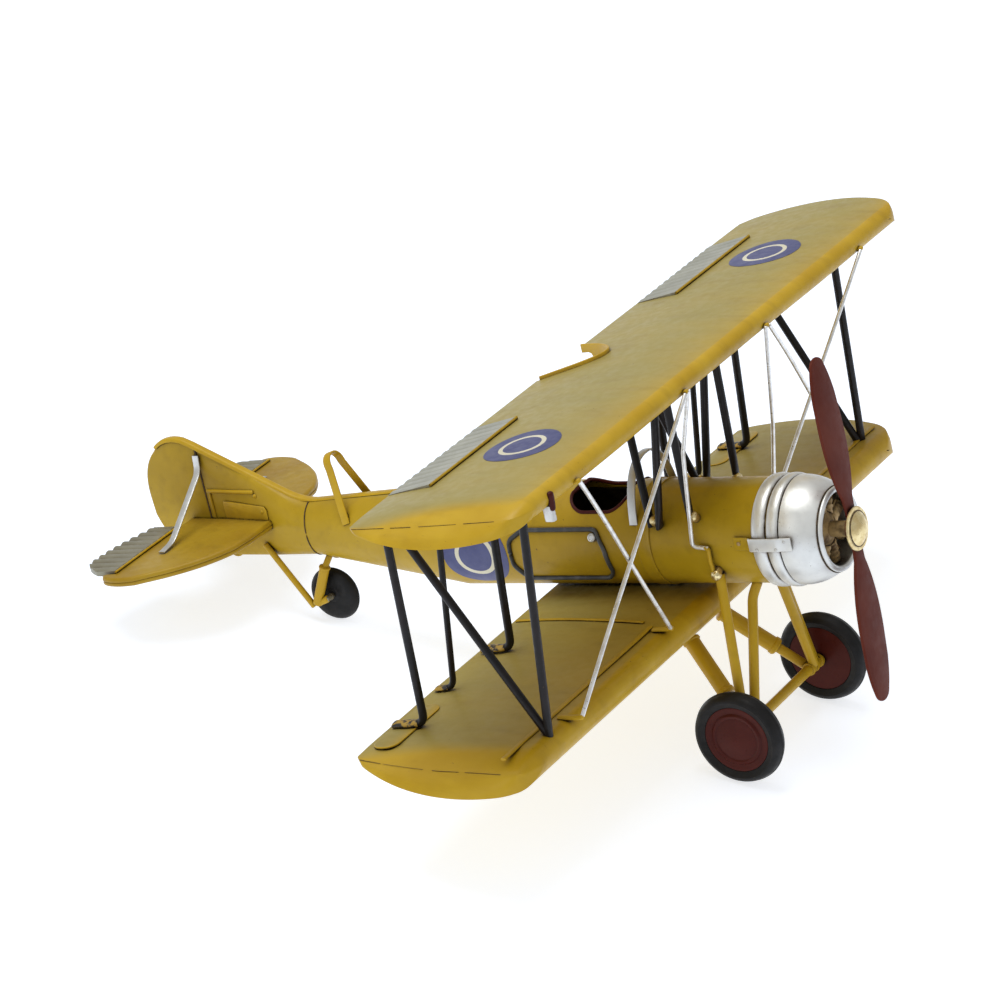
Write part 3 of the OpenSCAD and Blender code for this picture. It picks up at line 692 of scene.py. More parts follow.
def wire_loop(path, wide, thick, across, sides):
    """A wire, or a rolled edge, round a closed path."""
    path = [Vector(p) for p in path]
    outline = circle(wide, sides, tall=thick)
    rings = [section(outline, p, along(path, i, closed=True), across) for i, p in enumerate(path)]
    return skin(rings + rings[:1], capped=False)


def rivet(centre, r, height):
    """A low domed head that stands on a side."""
    profile = [(r, -0.5), (r, 0)] + [(r * c, height * s) for c, s in map(cos_sin, (15, 32, 50, 68, 82))]
    return turned(profile + [(0.001, height)], centre, PORT, 32)


def dent(p):
    """How far hand beating has sunk the wing's skin at a point."""
    return DENT_DEPTH * max(0.0, 0.5 + noise.noise(Vector((p.x, p.y / 1.6, p.z)) / DENT_SIZE))


# ---------- wings ----------
def chord(wing, count=34):
    """(x, upper z, lower z) from the front of the nose to the trailing edge."""
    (xn, zn), r = wing["nose"], wing["r"]
    xm, up_m, low_m = wing["mid"]
    xr, up_r, low_r = wing["rear"]
    stations = [(xn + r * c, zn + r * s, zn - r * s) for c, s in map(cos_sin, span(0, 90, 10)[:-1])]
    for t in span(0, 1, count):
        a, b, c = (1 - t) ** 2, 2 * t * (1 - t), t * t
        stations.append((a * xn + b * xm + c * xr, a * (zn + r) + b * up_m + c * up_r,
                         a * (zn - r) + b * low_m + c * low_r))
    return stations


def wing_ends(wing):
    """x at the front of the nose and at the trailing edge."""
    return wing["nose"][0] + wing["r"], wing["rear"][0]


def off_middle(wing, x):
    """-1 at the trailing edge to 1 at the nose."""
    front, rear = wing_ends(wing)
    return (2 * x - front - rear) / (front - rear)


def tip_outline(wing, x):
    """How far out the tip reaches at x: a shallow bow with a rounded front corner."""
    (front, rear), corner = wing_ends(wing), wing["corner"]
    y = HALF_SPAN + TIP_BULGE * (1 - off_middle(wing, x) ** 2)
    near = max(0.0, x - (front - corner)) / corner
    clipped = max(0.0, rear + 4 - x) / 4
    return y - corner * (1 - math.sqrt(max(0.0, 1 - near ** 2))) - 2.2 * clipped


def tip_ridge(wing, x, far):
    """The line where the upper skin is folded down to the tip; the far tips are squarer."""
    if far:
        return tip_outline(wing, x) - 1.4
    return min(HALF_SPAN + 1.3 - 1.6 * off_middle(wing, x) ** 2, tip_outline(wing, x) - 0.02)


def droop(up, low, share=1.0):
    """How far the upper skin is dressed down towards the tip."""
    return TIP_DROOP_SHARE * min(up - low, 11) * share


def wing_half(wing, far):
    share = 0.12 if far else 1.0
    upper = chord(wing)[::-1]
    lower = upper[-2::-1]
    inner = HALF_SPAN - wing["corner"] - 4
    rings = [[Vector((x, y, up)) for x, up, _ in upper] + [Vector((x, y, low)) for x, _, low in lower]
             for y in span(0, inner, 60)]
    for t in span(0, 1, 9)[1:]:
        top = [Vector((x, inner + t * (tip_ridge(wing, x, far) - inner), up - droop(up, low, share * t * t)))
               for x, up, low in upper]
        bottom = [Vector((x, inner + t * (tip_outline(wing, x) - inner), low)) for x, _, low in lower]
        rings.append(top + bottom)
    cap_rows = []
    for f in span(0, 1, 7):
        belly = 0.9 * math.sin(math.pi * f)
        row = []
        for x, up, low in upper:
            ridge, outer = tip_ridge(wing, x, far), tip_outline(wing, x)
            y = ridge + f * (outer - ridge) + belly * min(1.0, (up - low) / 4)
            start = up - droop(up, low, share)
            row.append(Vector((x, min(outer, y), start + f * (low - start))))
        cap_rows.append(row)
    half = skin(rings, capped=False) + skin(cap_rows, closed=False)
    for p in half.points:
        p.z -= dent(p)
    return half


def whole_wing(wing):
    return wing_half(wing, True) + wing_half(wing, False).mirrored()


def cutout_edge(y, inset=0.0):
    """A point on the cutout's edge, moved inset into the opening."""
    slope = 2 * y / CUTOUT_SPREAD
    length = math.hypot(1, slope)
    return (CUTOUT_X - y * y / CUTOUT_SPREAD - inset / length, y - inset * slope / length)


def make_wings():
    top = piece("top_wing_skin", whole_wing(TOP_WING), wing_yellow, ["top_wing"])
    opening = [cutout_edge(y) for y in span(-19, 19, 60)] + [(-125, 19), (-125, -19)]
    cut(top, rimmed(flat(opening), [(0, 55), (0, 85)], as_drawn))
    piece("lower_wing_skin", whole_wing(LOW_WING), wing_yellow, ["lower_wing"])
    for name, wing in (("top", TOP_WING), ("lower", LOW_WING)):
        piece(f"{name}_tip_seams", tip_seams(wing), seam_wash)


def upper_z(wing, x):
    """Height of a wing's upper skin at x."""
    return read_off(chord(wing, 60), x)[0]


def tip_seams(wing):
    """A faint broken line along the near tip ridge."""
    front, rear = wing_ends(wing)
    lines = Shape()
    x, end = rear + 2, front - wing["corner"] * 0.9
    while x < end:
        run = draws.uniform(8, 22)
        path = []
        for step in span(x, min(x + run, end), 12):
            up, low = read_off(chord(wing, 60), step)
            path.append((step, -tip_ridge(wing, step, False) - 0.03,
                         up - droop(up, low) - 0.05 + draws.uniform(-0.02, 0.02)))
        lines = lines + sweep(path, draws.uniform(0.06, 0.1), sides=8, end=0.1)
        x += run + draws.uniform(0.5, 4)
    return lines


def pressed_sheet(sides, ridges, front_x, back_x, thick, depths, place):
    """Sheet with grooves pressed from front to back, deeper at the back. place maps (x, y, height)."""
    pitch = (sides[1] - sides[0]) / ridges
    steps = (0, 0.12, 0.24, 0.38, 0.5, 0.62, 0.76, 0.88)
    rows = [(sides[0] + (k + f) * pitch, f) for k in range(ridges) for f in steps]
    rings = []
    for y, f in rows + [(sides[1], 0)]:
        top, bottom = [], []
        for u in span(0, 1, 14):
            x = front_x + (back_x(y) - front_x) * u
            dip = max(0.0, 1 - min(f, 1 - f) / (GROOVE_SHARE * (0.45 + 0.9 * u))) ** 1.3
            depth = (depths[0] + (depths[1] - depths[0]) * u) * (0.25 if y in sides else dip)
            top.append(place(x, y, thick - depth))
            bottom.append(place(x, y, 0.0))
        rings.append(top + bottom[::-1])
    return skin(rings)


def make_ailerons():
    slope = math.atan((71.2 - 67.4) / 18.2)

    def on_wing(x, y, height):
        back = x - AILERON_X
        return Vector((AILERON_X + back * math.cos(slope), y, 71.25 + back * math.sin(slope) + height))

    def rear_edge(y):
        return -111.0 - 0.012 * (y - 63)

    sheet = pressed_sheet((63, 125.5), 12, AILERON_X, rear_edge, 1.15, (0.2, 0.42), on_wing)
    lip = strap(resampled([on_wing(-92.6, 62.8, 0.55), on_wing(-92.6, 125.7, 0.55)], 4), 0.9, 1.35)
    for hand, side in (("left", sheet), ("right", sheet.mirrored())):
        piece(f"aileron_{hand}_sheet", side, sheet_silver, [f"aileron_{hand}"], bevel=0.12)
    piece("aileron_front_lips", lip.both(), trim_yellow)


def make_cutout_trim():
    """The strip bent round the cutout, standing a little proud of the wing."""
    path = resampled([(*cutout_edge(y, 0.5), 0) for y in span(16.9, -16.9, 60)], 1.6)
    rings = []
    for i, p in enumerate(path):
        way = along(path, i)
        top = upper_z(TOP_WING, p.x) + 1.25
        low = top - (5.4 if p.x > -104 else 3.4)
        half = [(0.42, low), (0.45, top - 0.2), (0.25, top)]
        outline = half + [(-w, z) for w, z in half[::-1]]
        rings.append([Vector((p.x - way.y * w, p.y + way.x * w, z)) for w, z in outline])
    piece("cutout_rim", skin(rings), trim_yellow, ["cutout_trim"], sharp=50)


def make_wing_strips():
    chordwise = [(x, 37.8, up + 0.18) for x, up, _ in chord(LOW_WING, 40)[14:-1]]
    spanwise = [(-70.7, y, upper_z(LOW_WING, -70.7) + 0.12) for y in span(41, 133, 30)]
    spanwise += [(-70.9, y, upper_z(LOW_WING, -70.9) + 0.12) for y in span(137, 152.6, 8)]
    strips = strap(chordwise, 1.5, 0.75, PORT) + strap(spanwise, 2.1, 0.9)
    piece("lower_wing_folds", strips.both(), trim_yellow, ["lower_wing_strips"])

    def on_wing(u, v, h):
        x = -124.6 + u
        return Vector((x, 130 + v, upper_z(LOW_WING, x) - 0.25 + h))

    patch = rimmed(rounded_box(5.4, 18, 4.8, 8), soft_edge(0, 0.75, 0.28), on_wing)
    piece("strut_patches", patch.both(), wing_yellow, ["tip_patches"])


# ---------- fuselage and tail ----------
def fuselage_ring(x, grow=0.0, count=112):
    """Round ahead of the taper, then narrowing to the tail's upright oval."""
    t = max(0.0, min(1.0, (TAPER_X - x) / (TAPER_X - SEAM_X)))
    half_w = FUSE_R + (TAIL_HALF_W - FUSE_R) * t - grow
    half_h = FUSE_R + (TAIL_HALF_H - FUSE_R) * t - grow
    return [Vector((x, half_w * math.sin(a), TAIL_Z * t + half_h * math.cos(a)))
            for a in (math.tau * k / count for k in range(count))]


def make_fuselage():
    outer = [fuselage_ring(x) for x in span(COWL_X, TAPER_X + 3, 44) + span(TAPER_X, SEAM_X, 26)]
    inner = [fuselage_ring(x, SHEET)
             for x in span(SEAM_X + SHEET, TAPER_X, 14) + span(TAPER_X + 3, COWL_X, 14)]
    tube = skin(outer + inner, capped=False)
    count = len(outer[0])
    front_gap = (len(outer) + len(inner) - 1) * count
    tube.faces += [(i, (i + 1) % count, front_gap + (i + 1) % count, front_gap + i) for i in range(count)]
    body = piece("fuselage_skin", tube, body_yellow, ["fuselage"])
    opening = [p + Vector((-101, 0)) for p in rounded_box(13, 14.5, 8, 12)]
    cut(body, rimmed(opening, [(0, 3), (0, 24)], as_drawn))
    rim = [(p.x, p.y, math.sqrt(FUSE_R ** 2 - p.y ** 2) - 0.15) for p in inset_outline(opening, 0.35)]
    piece("cockpit_edge", wire_loop(rim, 0.775, 0.62, UP, 12), disc_maroon, ["cockpit_rim"])
    make_cockpit_shade_sheet()
    rear, front = -82.3, -76.6
    edge = [(-0.3, rear), (0.32, rear + 0.1), (0.5, rear + 0.4), (0.32, rear + 0.85),
            (0.28, front - 0.85), (0.5, front - 0.4), (0.32, front - 0.1), (-0.3, front)]
    band = round_shaft([(FUSE_R + proud, x) for proud, x in edge], 120)
    piece("fuselage_hoop_band", band, body_yellow, ["fuselage_band"])


def make_cockpit_shade_sheet():
    """Dark sheet under the opening, painted shade, so that the inside reads as shade."""
    arc = [cos_sin(t) for t in span(52, 308, 40)]
    well = [[Vector((x, r * s, r * c)) for r, part in ((18.85, arc), (18.45, arc[::-1])) for c, s in part]
            for x in span(-124, -79, 12)]
    walls = combined(round_shaft([(0.001, x), (18.8, x), (18.8, x + 0.4), (0.001, x + 0.4)], 64, closed=False)
                     for x in (-124.3, -79.1))
    # Painted shade: a dark sheet where the inside of the tube shows only shade.
    piece("cockpit_shade_sheet", skin(well) + walls, cockpit_painted_shade)


SPINE = ([(-146, 20.2), (TAPER_X, 20.2), (-205, 17.4), (-228, 15.6)]
         + bezier((-236, 15), (-243, 14.9), (-250, 18.6), 8)
         + [(-290, 39.8)] + bezier((-294, 41.6), (-302, 43.6), (-307.6, 38.9), 8))


def spine_z(x):
    return read_off(SPINE, x)[0]


def make_spine():
    path = resampled([(x, 0, z) for x, z in SPINE], 2.2)
    rings = []
    for i, p in enumerate(path):
        on_fin = max(0.0, min(1.0, (-236 - p.x) / 14))
        half, lap = 2.1 - 0.25 * on_fin, 0.15 + 1.0 * on_fin
        upper = [(-1, -lap), (-0.93, 0.05), (-0.7, 0.34), (-0.3, 0.44)]
        lower = [(-0.6, -0.35), (-0.72, -lap)]
        outline = upper + [(-a, b) for a, b in upper[::-1]] + [(-a, b) for a, b in lower[::-1]] + lower
        up = Vector(PORT).cross(along(path, i))
        rings.append([p + Vector((0, a * half, 0)) + up * b for a, b in outline])
    piece("spine_capping", skin(rings), trim_yellow, ["spine_strip"], sharp=55)


def tail_reach(x):
    """How far back x is on the tail, 0 to 1, and the heights of the tail's edges there."""
    s = (SEAM_X - x) / (SEAM_X - RUDDER_X)
    return s, (TAIL_Z - TAIL_HALF_H) * (1 - s) - 8.6 * s, min(spine_z(x) - 0.35, 38.6)


def tail_half_width(x, h):
    """Half width of the tail at x, h of the way up its side."""
    s = tail_reach(x)[0]
    half = TAIL_HALF_W * (1 - s) * (1 - 0.42 * s * h) + 1.3 * s
    return half * (2 * math.sqrt(max(0.0, h * (1 - h)))) ** (1 - 0.44 * min(1, s * 2.2))


def on_tail(x, z, proud):
    """A point on the tail's side, standing proud of it."""
    _, low, top = tail_reach(x)
    h = max(0.02, min(0.98, (z - low) / (top - low)))
    return Vector((x, tail_half_width(x, h) + proud, z))


def make_tail():
    rings = []
    for x in span(SEAM_X - 0.05, RUDDER_X, 30):
        _, low, top = tail_reach(x)
        ring = []
        for k in range(64):
            a = math.tau * k / 64
            h = (1 - math.cos(a)) / 2
            ring.append(Vector((x, math.copysign(tail_half_width(x, h), math.sin(a)), low + (top - low) * h)))
        rings.append(ring)
    piece("tail_sides", skin(rings), body_yellow, ["tail_block"], sharp=60)
    seam = fuselage_ring(SEAM_X, -0.05, 72)
    piece("tail_seam_line", wire_loop(seam, 0.325, 0.26, UP, 8), seam_wash)
    hinge = RUDDER_X - 0.4
    outline = [(hinge, -8.6), (hinge, 14), (hinge, 38.4)]
    outline += bezier((-294, 40.4), (-302, 42.6), (-307.6, 38.2), 14)
    outline += bezier((-310.4, 35.4), (-316.4, 29), (-316, 17.6), 14)
    outline += bezier((-315.6, 10), (-311, -6.5), (-297, -8.6), 18)
    rudder = rimmed(flat(outline), soft_edge(-1.2, 1.2, 0.75), lambda x, z, h: Vector((x, h, z)))
    piece("rudder_plate", rudder, body_yellow, ["rudder"], sharp=50)
    make_tail_trim()


def make_tail_trim():
    ribs = sweep([on_tail(x, 19.8, 0.15) for x in span(-286.6, -263.5, 12)], 0.85, UP)
    ribs = ribs + sweep([on_tail(-285.9, z, 0.1) for z in span(4.5, 19.4, 8)], 0.62, AHEAD)
    outline = flat([(-257.6, 8.2), (-257.6, 12.6), (-258.6, 14), (-276, 15.6), (-279.4, 15.6), (-279.8, 14.6),
                    (-279.8, 8.2)])
    plate = rimmed(outline, soft_edge(-0.2, 0.6, 0.25), lambda x, z, h: on_tail(x, z, 0.15 + h))
    heads = rivet(on_tail(-259.8, 12.0, 0.7), 0.85, 0.45) + rivet(on_tail(-262.6, 18.2, 0.1), 0.9, 0.5)
    piece("tail_ribs_and_plates", (ribs + plate + heads).both(), trim_yellow, ["fin_strips"])
    groove = sweep([(RUDDER_X - 0.1, 1.28, z) for z in span(-8, 37.5, 20)], 0.3, AHEAD, 8, 0.1)
    piece("rudder_hinge_lines", groove.both(), seam_wash)


def tailplane_outline():
    edge = [(-256.2, 4), (-256.6, 20)]
    edge += bezier((-258, 30), (-264, 46), (-281, 57), 16)
    edge += bezier((-287, 61), (-296, 64), (-302, 60.5), 10)
    return flat(edge + [(-303.4, 58.4), (-301.6, 56.9), (HINGE_X, 56.5), (HINGE_X, 1.6)])


def make_tailplane():
    top, bottom = TAILPLANE_TOP, TAILPLANE_BOTTOM
    middle = (top + bottom) / 2
    lower = [(1.6, 0), (1.0, 0.06), (0.42, 0.35), (0.08, 1.0), (0.1, middle - bottom - 0.35)]
    profile = [(a, bottom + b) for a, b in lower] + [(0.42, middle)] + [(a, top - b) for a, b in lower[::-1]]
    half = rimmed(tailplane_outline(), profile, as_drawn)
    piece("tailplane_halves", half.both(), tail_yellow, ["tailplane"], sharp=50)
    root, tip = 12.5, 56.4

    def rear_edge(y):
        """The elevators' rounded trailing edge."""
        u = max(0.0, min(1.0, (y - root) / (tip - root)))
        bow = 7.0 * math.sin(min(1.0, u * 1.3) * math.pi / 2)
        return -309.2 - bow + 9.0 * max(0.0, (u - 0.78) / 0.22) ** 2

    def on_tailplane(x, y, height):
        return Vector((x, y, TAILPLANE_TOP - 1.5 + height))

    sheet = pressed_sheet((root, tip), 10, HINGE_X - 0.2, rear_edge, 2.45, (0.25, 1.25), on_tailplane)
    piece("elevator_sheets", sheet.both(), grimy_silver, ["elevators"], bevel=0.12)
    lip = strap(resampled([(HINGE_X + 0.5, y, TAILPLANE_TOP + 0.5) for y in (12, 57)], 4), 1.0, 1.1)
    piece("elevator_front_lips", lip.both(), trim_yellow)
    line = [(-287.9, 2.2, 35.2), (-287.9, 3.0, 28.6), (-287.9, 30.2, 9.9), (-287.9, 38.2, 9.0)]
    piece("tail_brace_straps", strap(rounded(line, 3.0), 2.9, 0.7).both(), fitting_silver, ["tail_braces"])


# ---------- fittings ----------
def make_hoops():
    arch = bezier((-83.2, -17.5, 9.8), (-83.2, -14, 32), (-83.2, 0, 32), 18)[:-1]
    arch += [Vector((p.x, -p.y, p.z)) for p in arch[::-1]]
    piece("windscreen_strip", strap(arch, 3.4, 0.7), fitting_silver, ["windscreen_arch"])
    foot_x, foot_z = -217, 8.6
    hoop = [(11, foot_z), (4.6, 29.8)]
    hoop += [(4.4 * math.cos(t), 31 + 4.4 * math.sin(t)) for t in span(0.17, math.pi - 0.17, 16)]
    hoop += [(-4.6, 29.8), (-11, foot_z)]
    lean_x, lean_z = math.sin(HOOP_LEAN), math.cos(HOOP_LEAN)
    path = resampled([(foot_x - (z - foot_z) * lean_x, y, foot_z + (z - foot_z) * lean_z) for y, z in hoop], 3)
    piece("rear_hoop_strip", strap(path, 3.6, 0.85, (lean_z, 0, lean_x)), trim_yellow, ["rear_hoop"])


def make_clip():
    """The small silver strap and maroon tab on the near top wing's nose."""
    y = -133
    block = strap([(-41.2, y, 61.1), (-41.2, y, 67)], 4.1, 2.9)
    piece("lever_block", block, fitting_silver, ["lever_bracket"], bevel=0.25)
    path = resampled([(-39.7, y, 65.8), (-39.45, y, 68), (-39.35, y, 70.9)], 0.7)
    radii = [(1.25, 1.3 + 0.2 * i / (len(path) - 1)) for i in range(len(path))]
    piece("lever_handle", sweep(path, radii, AHEAD, 20, 1.0), disc_maroon, ["lever_paddle"])


def make_door():
    """A wire outline laid on the near side of the tube, and its knob."""
    corners = [(-134, 8.6), (-100, 8.6), (-96.9, 0.8), (-96.1, -8.8), (-98.9, -12.1), (-134.6, -12.1),
               (-138.6, -5.4), (-138.5, 4.4)]
    corners = [(x, z, 0) for x, z in corners]
    path = rounded(corners[-1:] + corners + corners[:1], 1.6, 6)[6:-1]
    path = resampled(path + path[:1], 1.5)[:-1]
    wire = [(p.x, -math.sqrt((FUSE_R + 0.52) ** 2 - p.y ** 2), p.y) for p in path]
    piece("door_wire", wire_loop(wire, 0.85, 0.68, UP, 12), door_steel, ["door_frame"])
    knob_z = 5.6
    out = Vector((0, -math.sqrt(FUSE_R ** 2 - knob_z ** 2), knob_z)).normalized()
    profile = [(0.001, -0.4), (1.7, -0.4), (1.75, 1.1), (1.5, 1.5), (1.1, 1.62), (0.9, 1.45), (0.001, 1.45)]
    knob = turned(profile, Vector((-101.2, 0, 0)) + out * FUSE_R, out, 32)
    piece("door_button", knob, fitting_silver, ["door_knob"])


def make_tail_loops():
    loops = combined(wire_loop([(a, 0, b) for a, b in circle(3.2, 32, centre)], 0.6, 0.6, PORT, 10)
                     for centre in ((-233.5, -6.6), (-281, -5.6)))
    piece("under_tail_loops", loops, trim_yellow, ["belly_loops"])


def make_bolts():
    profile = [(1.7, -3.0), (1.75, -0.6), (2.05, -0.35), (2.12, 0.1), (1.95, 0.85), (1.5, 1.55), (0.85, 1.95),
               (0.001, 2.05)]
    heads = Shape()
    for x, y, z in ((-72.9, 19.3, 12.3), (-56.6, 19.3, 14), (-50.6, 19.4, -8.6)):
        out = Vector((0, y, z)).normalized()
        heads = heads + turned(profile, Vector((x, 0, 0)) + out * (FUSE_R + 2.75), out, 36)
    heads = heads.both()
    for p in heads.points:
        p += noise.noise_vector(p * 0.9) * 0.09
    piece("brass_bolt_heads", heads, brass, ["brass_bolts"])


# ---------- cowl, engine and propeller ----------
def make_cowl():
    def bead(x, w, bulge):
        """A half-round ring of width w."""
        top = [(FUSE_R + 0.02 + bulge * max(0, s) ** 0.8, x + w / 2 * (1 - c))
               for c, s in map(cos_sin, span(0, 180, 15))]
        return round_shaft([(FUSE_R - 0.3, x)] + top + [(FUSE_R - 0.3, x + w)], 120)

    piece("cowl_ring_rear", bead(-33.3, 5.7, 1.4), cowl_silver, ["cowl_rear_ring"])
    piece("cowl_ring_middle", bead(-27.1, 5.0, 1.35), cowl_silver, ["cowl_middle_ring"])
    bowl_r, bowl_x, wall = 21.7, -21.6, 1
    centre_r = FUSE_R + 0.7 - bowl_r

    def arc(r, start, end, count):
        return [(centre_r + r * math.cos(a), bowl_x + r * math.sin(a)) for a in span(start, end, count)]

    bowl = round_shaft(arc(bowl_r, 0.0, 0.68, 22) + arc(bowl_r - wall, 0.68, 0.0, 16), 128)
    piece("cowl_front_bowl", bowl, cowl_silver, ["cowl_bowl"])
    piece("cowl_mouth_lip", round_shaft(circle(1.2, 19, (14.8, -7.45), 0.95), 128), cowl_silver, ["cowl_lip"])
    piece("cowl_mouth_groove", round_shaft(circle(0.22, 9, (16.05, -8.15)), 128), seam_wash)
    make_cowl_straps()


def make_cowl_straps():
    z = 2.9
    line = [(-33.8, 21.35, z), (-32.8, 21.75, z), (-21.8, 21.75, z), (-20.6, 21.4, z), (-16.4, 21.0, z)]
    front = strap(resampled(line, 1.5), 5.2, 0.6, UP)
    piece("cowl_strap_fronts", front.both(), cowl_silver, ["cowl_straps"])
    back = strap(resampled([(-40.6, 19.95, z), (-35.4, 20.2, z), (-33.6, 21.3, z)], 1.5), 5.1, 0.6, UP)
    piece("cowl_strap_backs", back.both(), body_yellow)
    rivets = combined(rivet(at, 0.62, 0.42)
                      for at in ((-19.0, 21.4, 4.2), (-22.6, 22.0, 1.3), (-30.5, 22.05, 1.2)))
    piece("cowl_strap_rivets", rivets.both(), fitting_silver)
    piece("strap_screws", rivet((-38.6, 20.35, 3.0), 0.8, 0.5).both(), bronze)


def round_engine(part, start):
    """Nine parts about the shaft. part draws the one at index k pointing up."""
    return combined(part(k).moved(Matrix.Rotation(math.radians(40 * k + start), 4, "X")) for k in range(9))


def make_engine():
    wide, back = FUSE_R - SHEET, -22.4
    case = [(0.001, back), (wide, back), (wide, -21.5), (7.2, -21.4), (6.9, -13), (6.2, -12.2), (3.6, -10.6),
            (3.2, -10.4), (0.001, -10.4)]
    piece("crankcase_front", round_shaft(case, 96, closed=False), bronze, ["engine_crankcase"])

    def pushrod(_):
        return sweep([(-15.0, 0.9, 3.4), (-14.2, 0.9, 8.0), (-14.0, 0.9, 13.8)], 0.5, AHEAD, 10)

    def barrel(k):
        radii = [(2.2 + 0.22 * math.sin(2.3 * i + 1.7 * k),) * 2 for i in range(13)]
        return sweep([(-13.6 - 0.12 * i, 0, 6.6 + 0.78 * i) for i in range(13)], radii, AHEAD, 18, 0.6)

    piece("engine_pushrods", round_engine(pushrod, 20), bronze)
    piece("engine_barrel_fronts", round_engine(barrel, 0), engine_bronze)


def blade_outline():
    """One blade, from the hub out, about its own middle line."""
    def edge(side):
        w = BLADE_HALF_W
        points = [(side * 2.9, 0), (side * 3.1, 6)]
        points += bezier((side * 3.7, 12), (side * (w + 0.9), 25), (side * w, 42), 16)
        outer = bezier((side * (w - 0.2), 49), (side * (w - 1.2), 57), (side * 5.3, BLADE_TIP - 4.2), 10)
        return points + outer[1:]

    tip = [(5.1 * math.cos(t), BLADE_TIP - 4.3 + 4.3 * math.sin(t)) for t in span(0.25, math.pi - 0.25, 14)]
    return flat(edge(1) + tip + edge(-1)[::-1])


def make_propeller():
    turn = Matrix.Rotation(-BLADE_REST, 4, "X")

    def blade(lean):
        c, s = math.cos(lean), math.sin(lean)

        def place(u, v, h):
            x = -1.3 + h
            return Vector((x * c + v * s, u, -x * s + v * c))
        return rimmed(blade_outline(), soft_edge(-0.6, 0.6, 0.4), place)

    lower_turn = turn @ Matrix.Rotation(math.pi - LOWER_BLADE_TURN, 4, "X")
    pair = blade(-BLADE_LEAN).moved(turn) + blade(LOWER_BLADE_LEAN).moved(lower_turn)
    boss = round_shaft([(1.7, -2.5), (5.0, -2.5), (5.4, -2.2), (5.4, -0.8), (5.0, -0.55), (1.7, -0.55)], 64)
    piece("propeller_sheet_blades", pair + boss, blade_maroon, ["propeller_blades"], "propeller", sharp=60)
    hub = [(1.7, -0.5), (7.9, -0.5), (8.25, -0.3), (8.3, 0.1), (8.1, 0.42), (7.4, 0.5), (6.9, 0.45), (6.6, 0.7)]
    dome_r, dome_x = 9.0, -5.7
    hub += [(math.sqrt(dome_r ** 2 - (x - dome_x) ** 2), x) for x in span(0.95, 3.2, 12)]
    hub = round_shaft(hub + [(0.6, 3.26), (0.001, 3.28)], 72, closed=False)
    piece("propeller_brass_dome", hub, brass, ["propeller_hub"], "propeller")
    groove = round_shaft(circle(0.34, 11, (6.5, 0.62), 0.2), 72)
    piece("propeller_dome_groove", groove, seam_wash, body="propeller")


# ---------- struts and wires ----------
def foot_strut(top, bend, foot, r, worn_foot=False):
    """A strut whose lower end is turned back along the wing and hammered flat, or that end's paint."""
    path = resampled(rounded([top, bend, foot], 3.6, 9), 3.0)
    foot_start = next(i for i, p in enumerate(path) if p.x < bend[0] - 1.5)
    radii = []
    for i in range(len(path)):
        flat_share = min(1.0, 1.8 * max(0.0, (i - foot_start) / max(1, len(path) - 1 - foot_start)))
        radii.append((r * (1 + 0.7 * flat_share), r * (1 - 0.32 * flat_share)))
    if worn_foot:
        path, radii = path[foot_start + 1:], [(a + PAINT, b + PAINT) for a, b in radii[foot_start + 1:]]
    return sweep(path, radii, PORT, 24, 0.7)


def plain_strut(foot, top, r=STRUT_R, squeeze=0.0):
    """A straight tube whose foot is pinched by the share squeeze."""
    path = resampled([foot, top], 4)
    pinch = [0.35 * squeeze * max(0.0, 1 - i / 2.2) for i in range(len(path))]
    return sweep(path, [(r * (1 + f), r * (1 - f)) for f in pinch], PORT, 24, 0.6)


def make_struts():
    rear_bend = ((-116.5, 130.2, -18.4), (-129, 130.2, -19), STRUT_R)
    bent = (
        ((-109.3, 130.2, 67.1), *rear_bend),
        ((-109.3, 65.3, 67.1), (-117, 65.3, -18.5), (-129, 65.3, -19.1), STRUT_R),
        ((-109, 99, 67.1), (-122.6, 99, -18.9), (-129.6, 99, -19.5), 1.2),
    )
    rear, inner, link = (foot_strut(*ends) for ends in bent)
    near_rear = foot_strut((-109.9, 134, 67.1), *rear_bend).mirrored()
    sides = {
        "left": (((-70.2, 140.6, -22.2), (-64.4, 138.6, 65.2)),
                 ((-71.2, 139, -21.4), (-107.5, 134.8, 67.2)), rear),
        "right": (((-64.6, -130.8, -22.4), (-53.8, -130.8, 65.4)),
                  ((-65.2, -130.8, -21.2), (-109.6, -134, 67.2)), near_rear),
    }
    for hand, (front, diagonal, back) in sides.items():
        parts = {"front": plain_strut(*front), "diagonal": plain_strut(*diagonal), "rear": back}
        for name, part in parts.items():
            piece(f"{name}_strut_{hand}_tube", part, strut_black, [f"{name}_strut_{hand}"])
    piece("inner_strut_tubes", inner.both(), strut_black, ["inner_struts"])
    piece("aileron_link_tubes", link.both(), strut_black, ["aileron_links"])
    feet = combined(foot_strut(*ends, worn_foot=True) for ends in bent)
    piece("worn_strut_feet", feet.both(), foot_paint)
    cabane = combined(plain_strut(foot, top, squeeze=1.0) for foot, top in (
        ((-74.4, 19.4, 10.2), (-83, 7, 65.2)),
        ((-71.1, 19.6, 9.6), (-60, 20, 65.6)),
        ((-57.2, 19, 12.4), (-56, 20, 65.6)),
    ))
    piece("cabane_tubes", cabane.both(), strut_black, ["cabane_struts"])


def wire_tab(at, back):
    """A soldered tab that runs forward to a wire's end."""
    path = resampled([at + Vector(back), at], 1.2)
    return sweep(path, [(1.5, 0.9)] * (len(path) - 2) + [(1.35, 0.95), (1.1, 0.9)], PORT, 18, 0.8)


def bowed_wire(start, end, bow):
    """A hand-pulled wire, bowed outwards and a little uneven."""
    path = []
    for t in span(0, 1, 24):
        sway = Vector((0.2 * math.sin(t * 7), bow * math.sin(t * math.pi), 0.1 * math.sin(t * 9)))
        path.append(start.lerp(end, t) + sway)
    return sweep(path, WIRE_R, AHEAD, 16, 0.4)


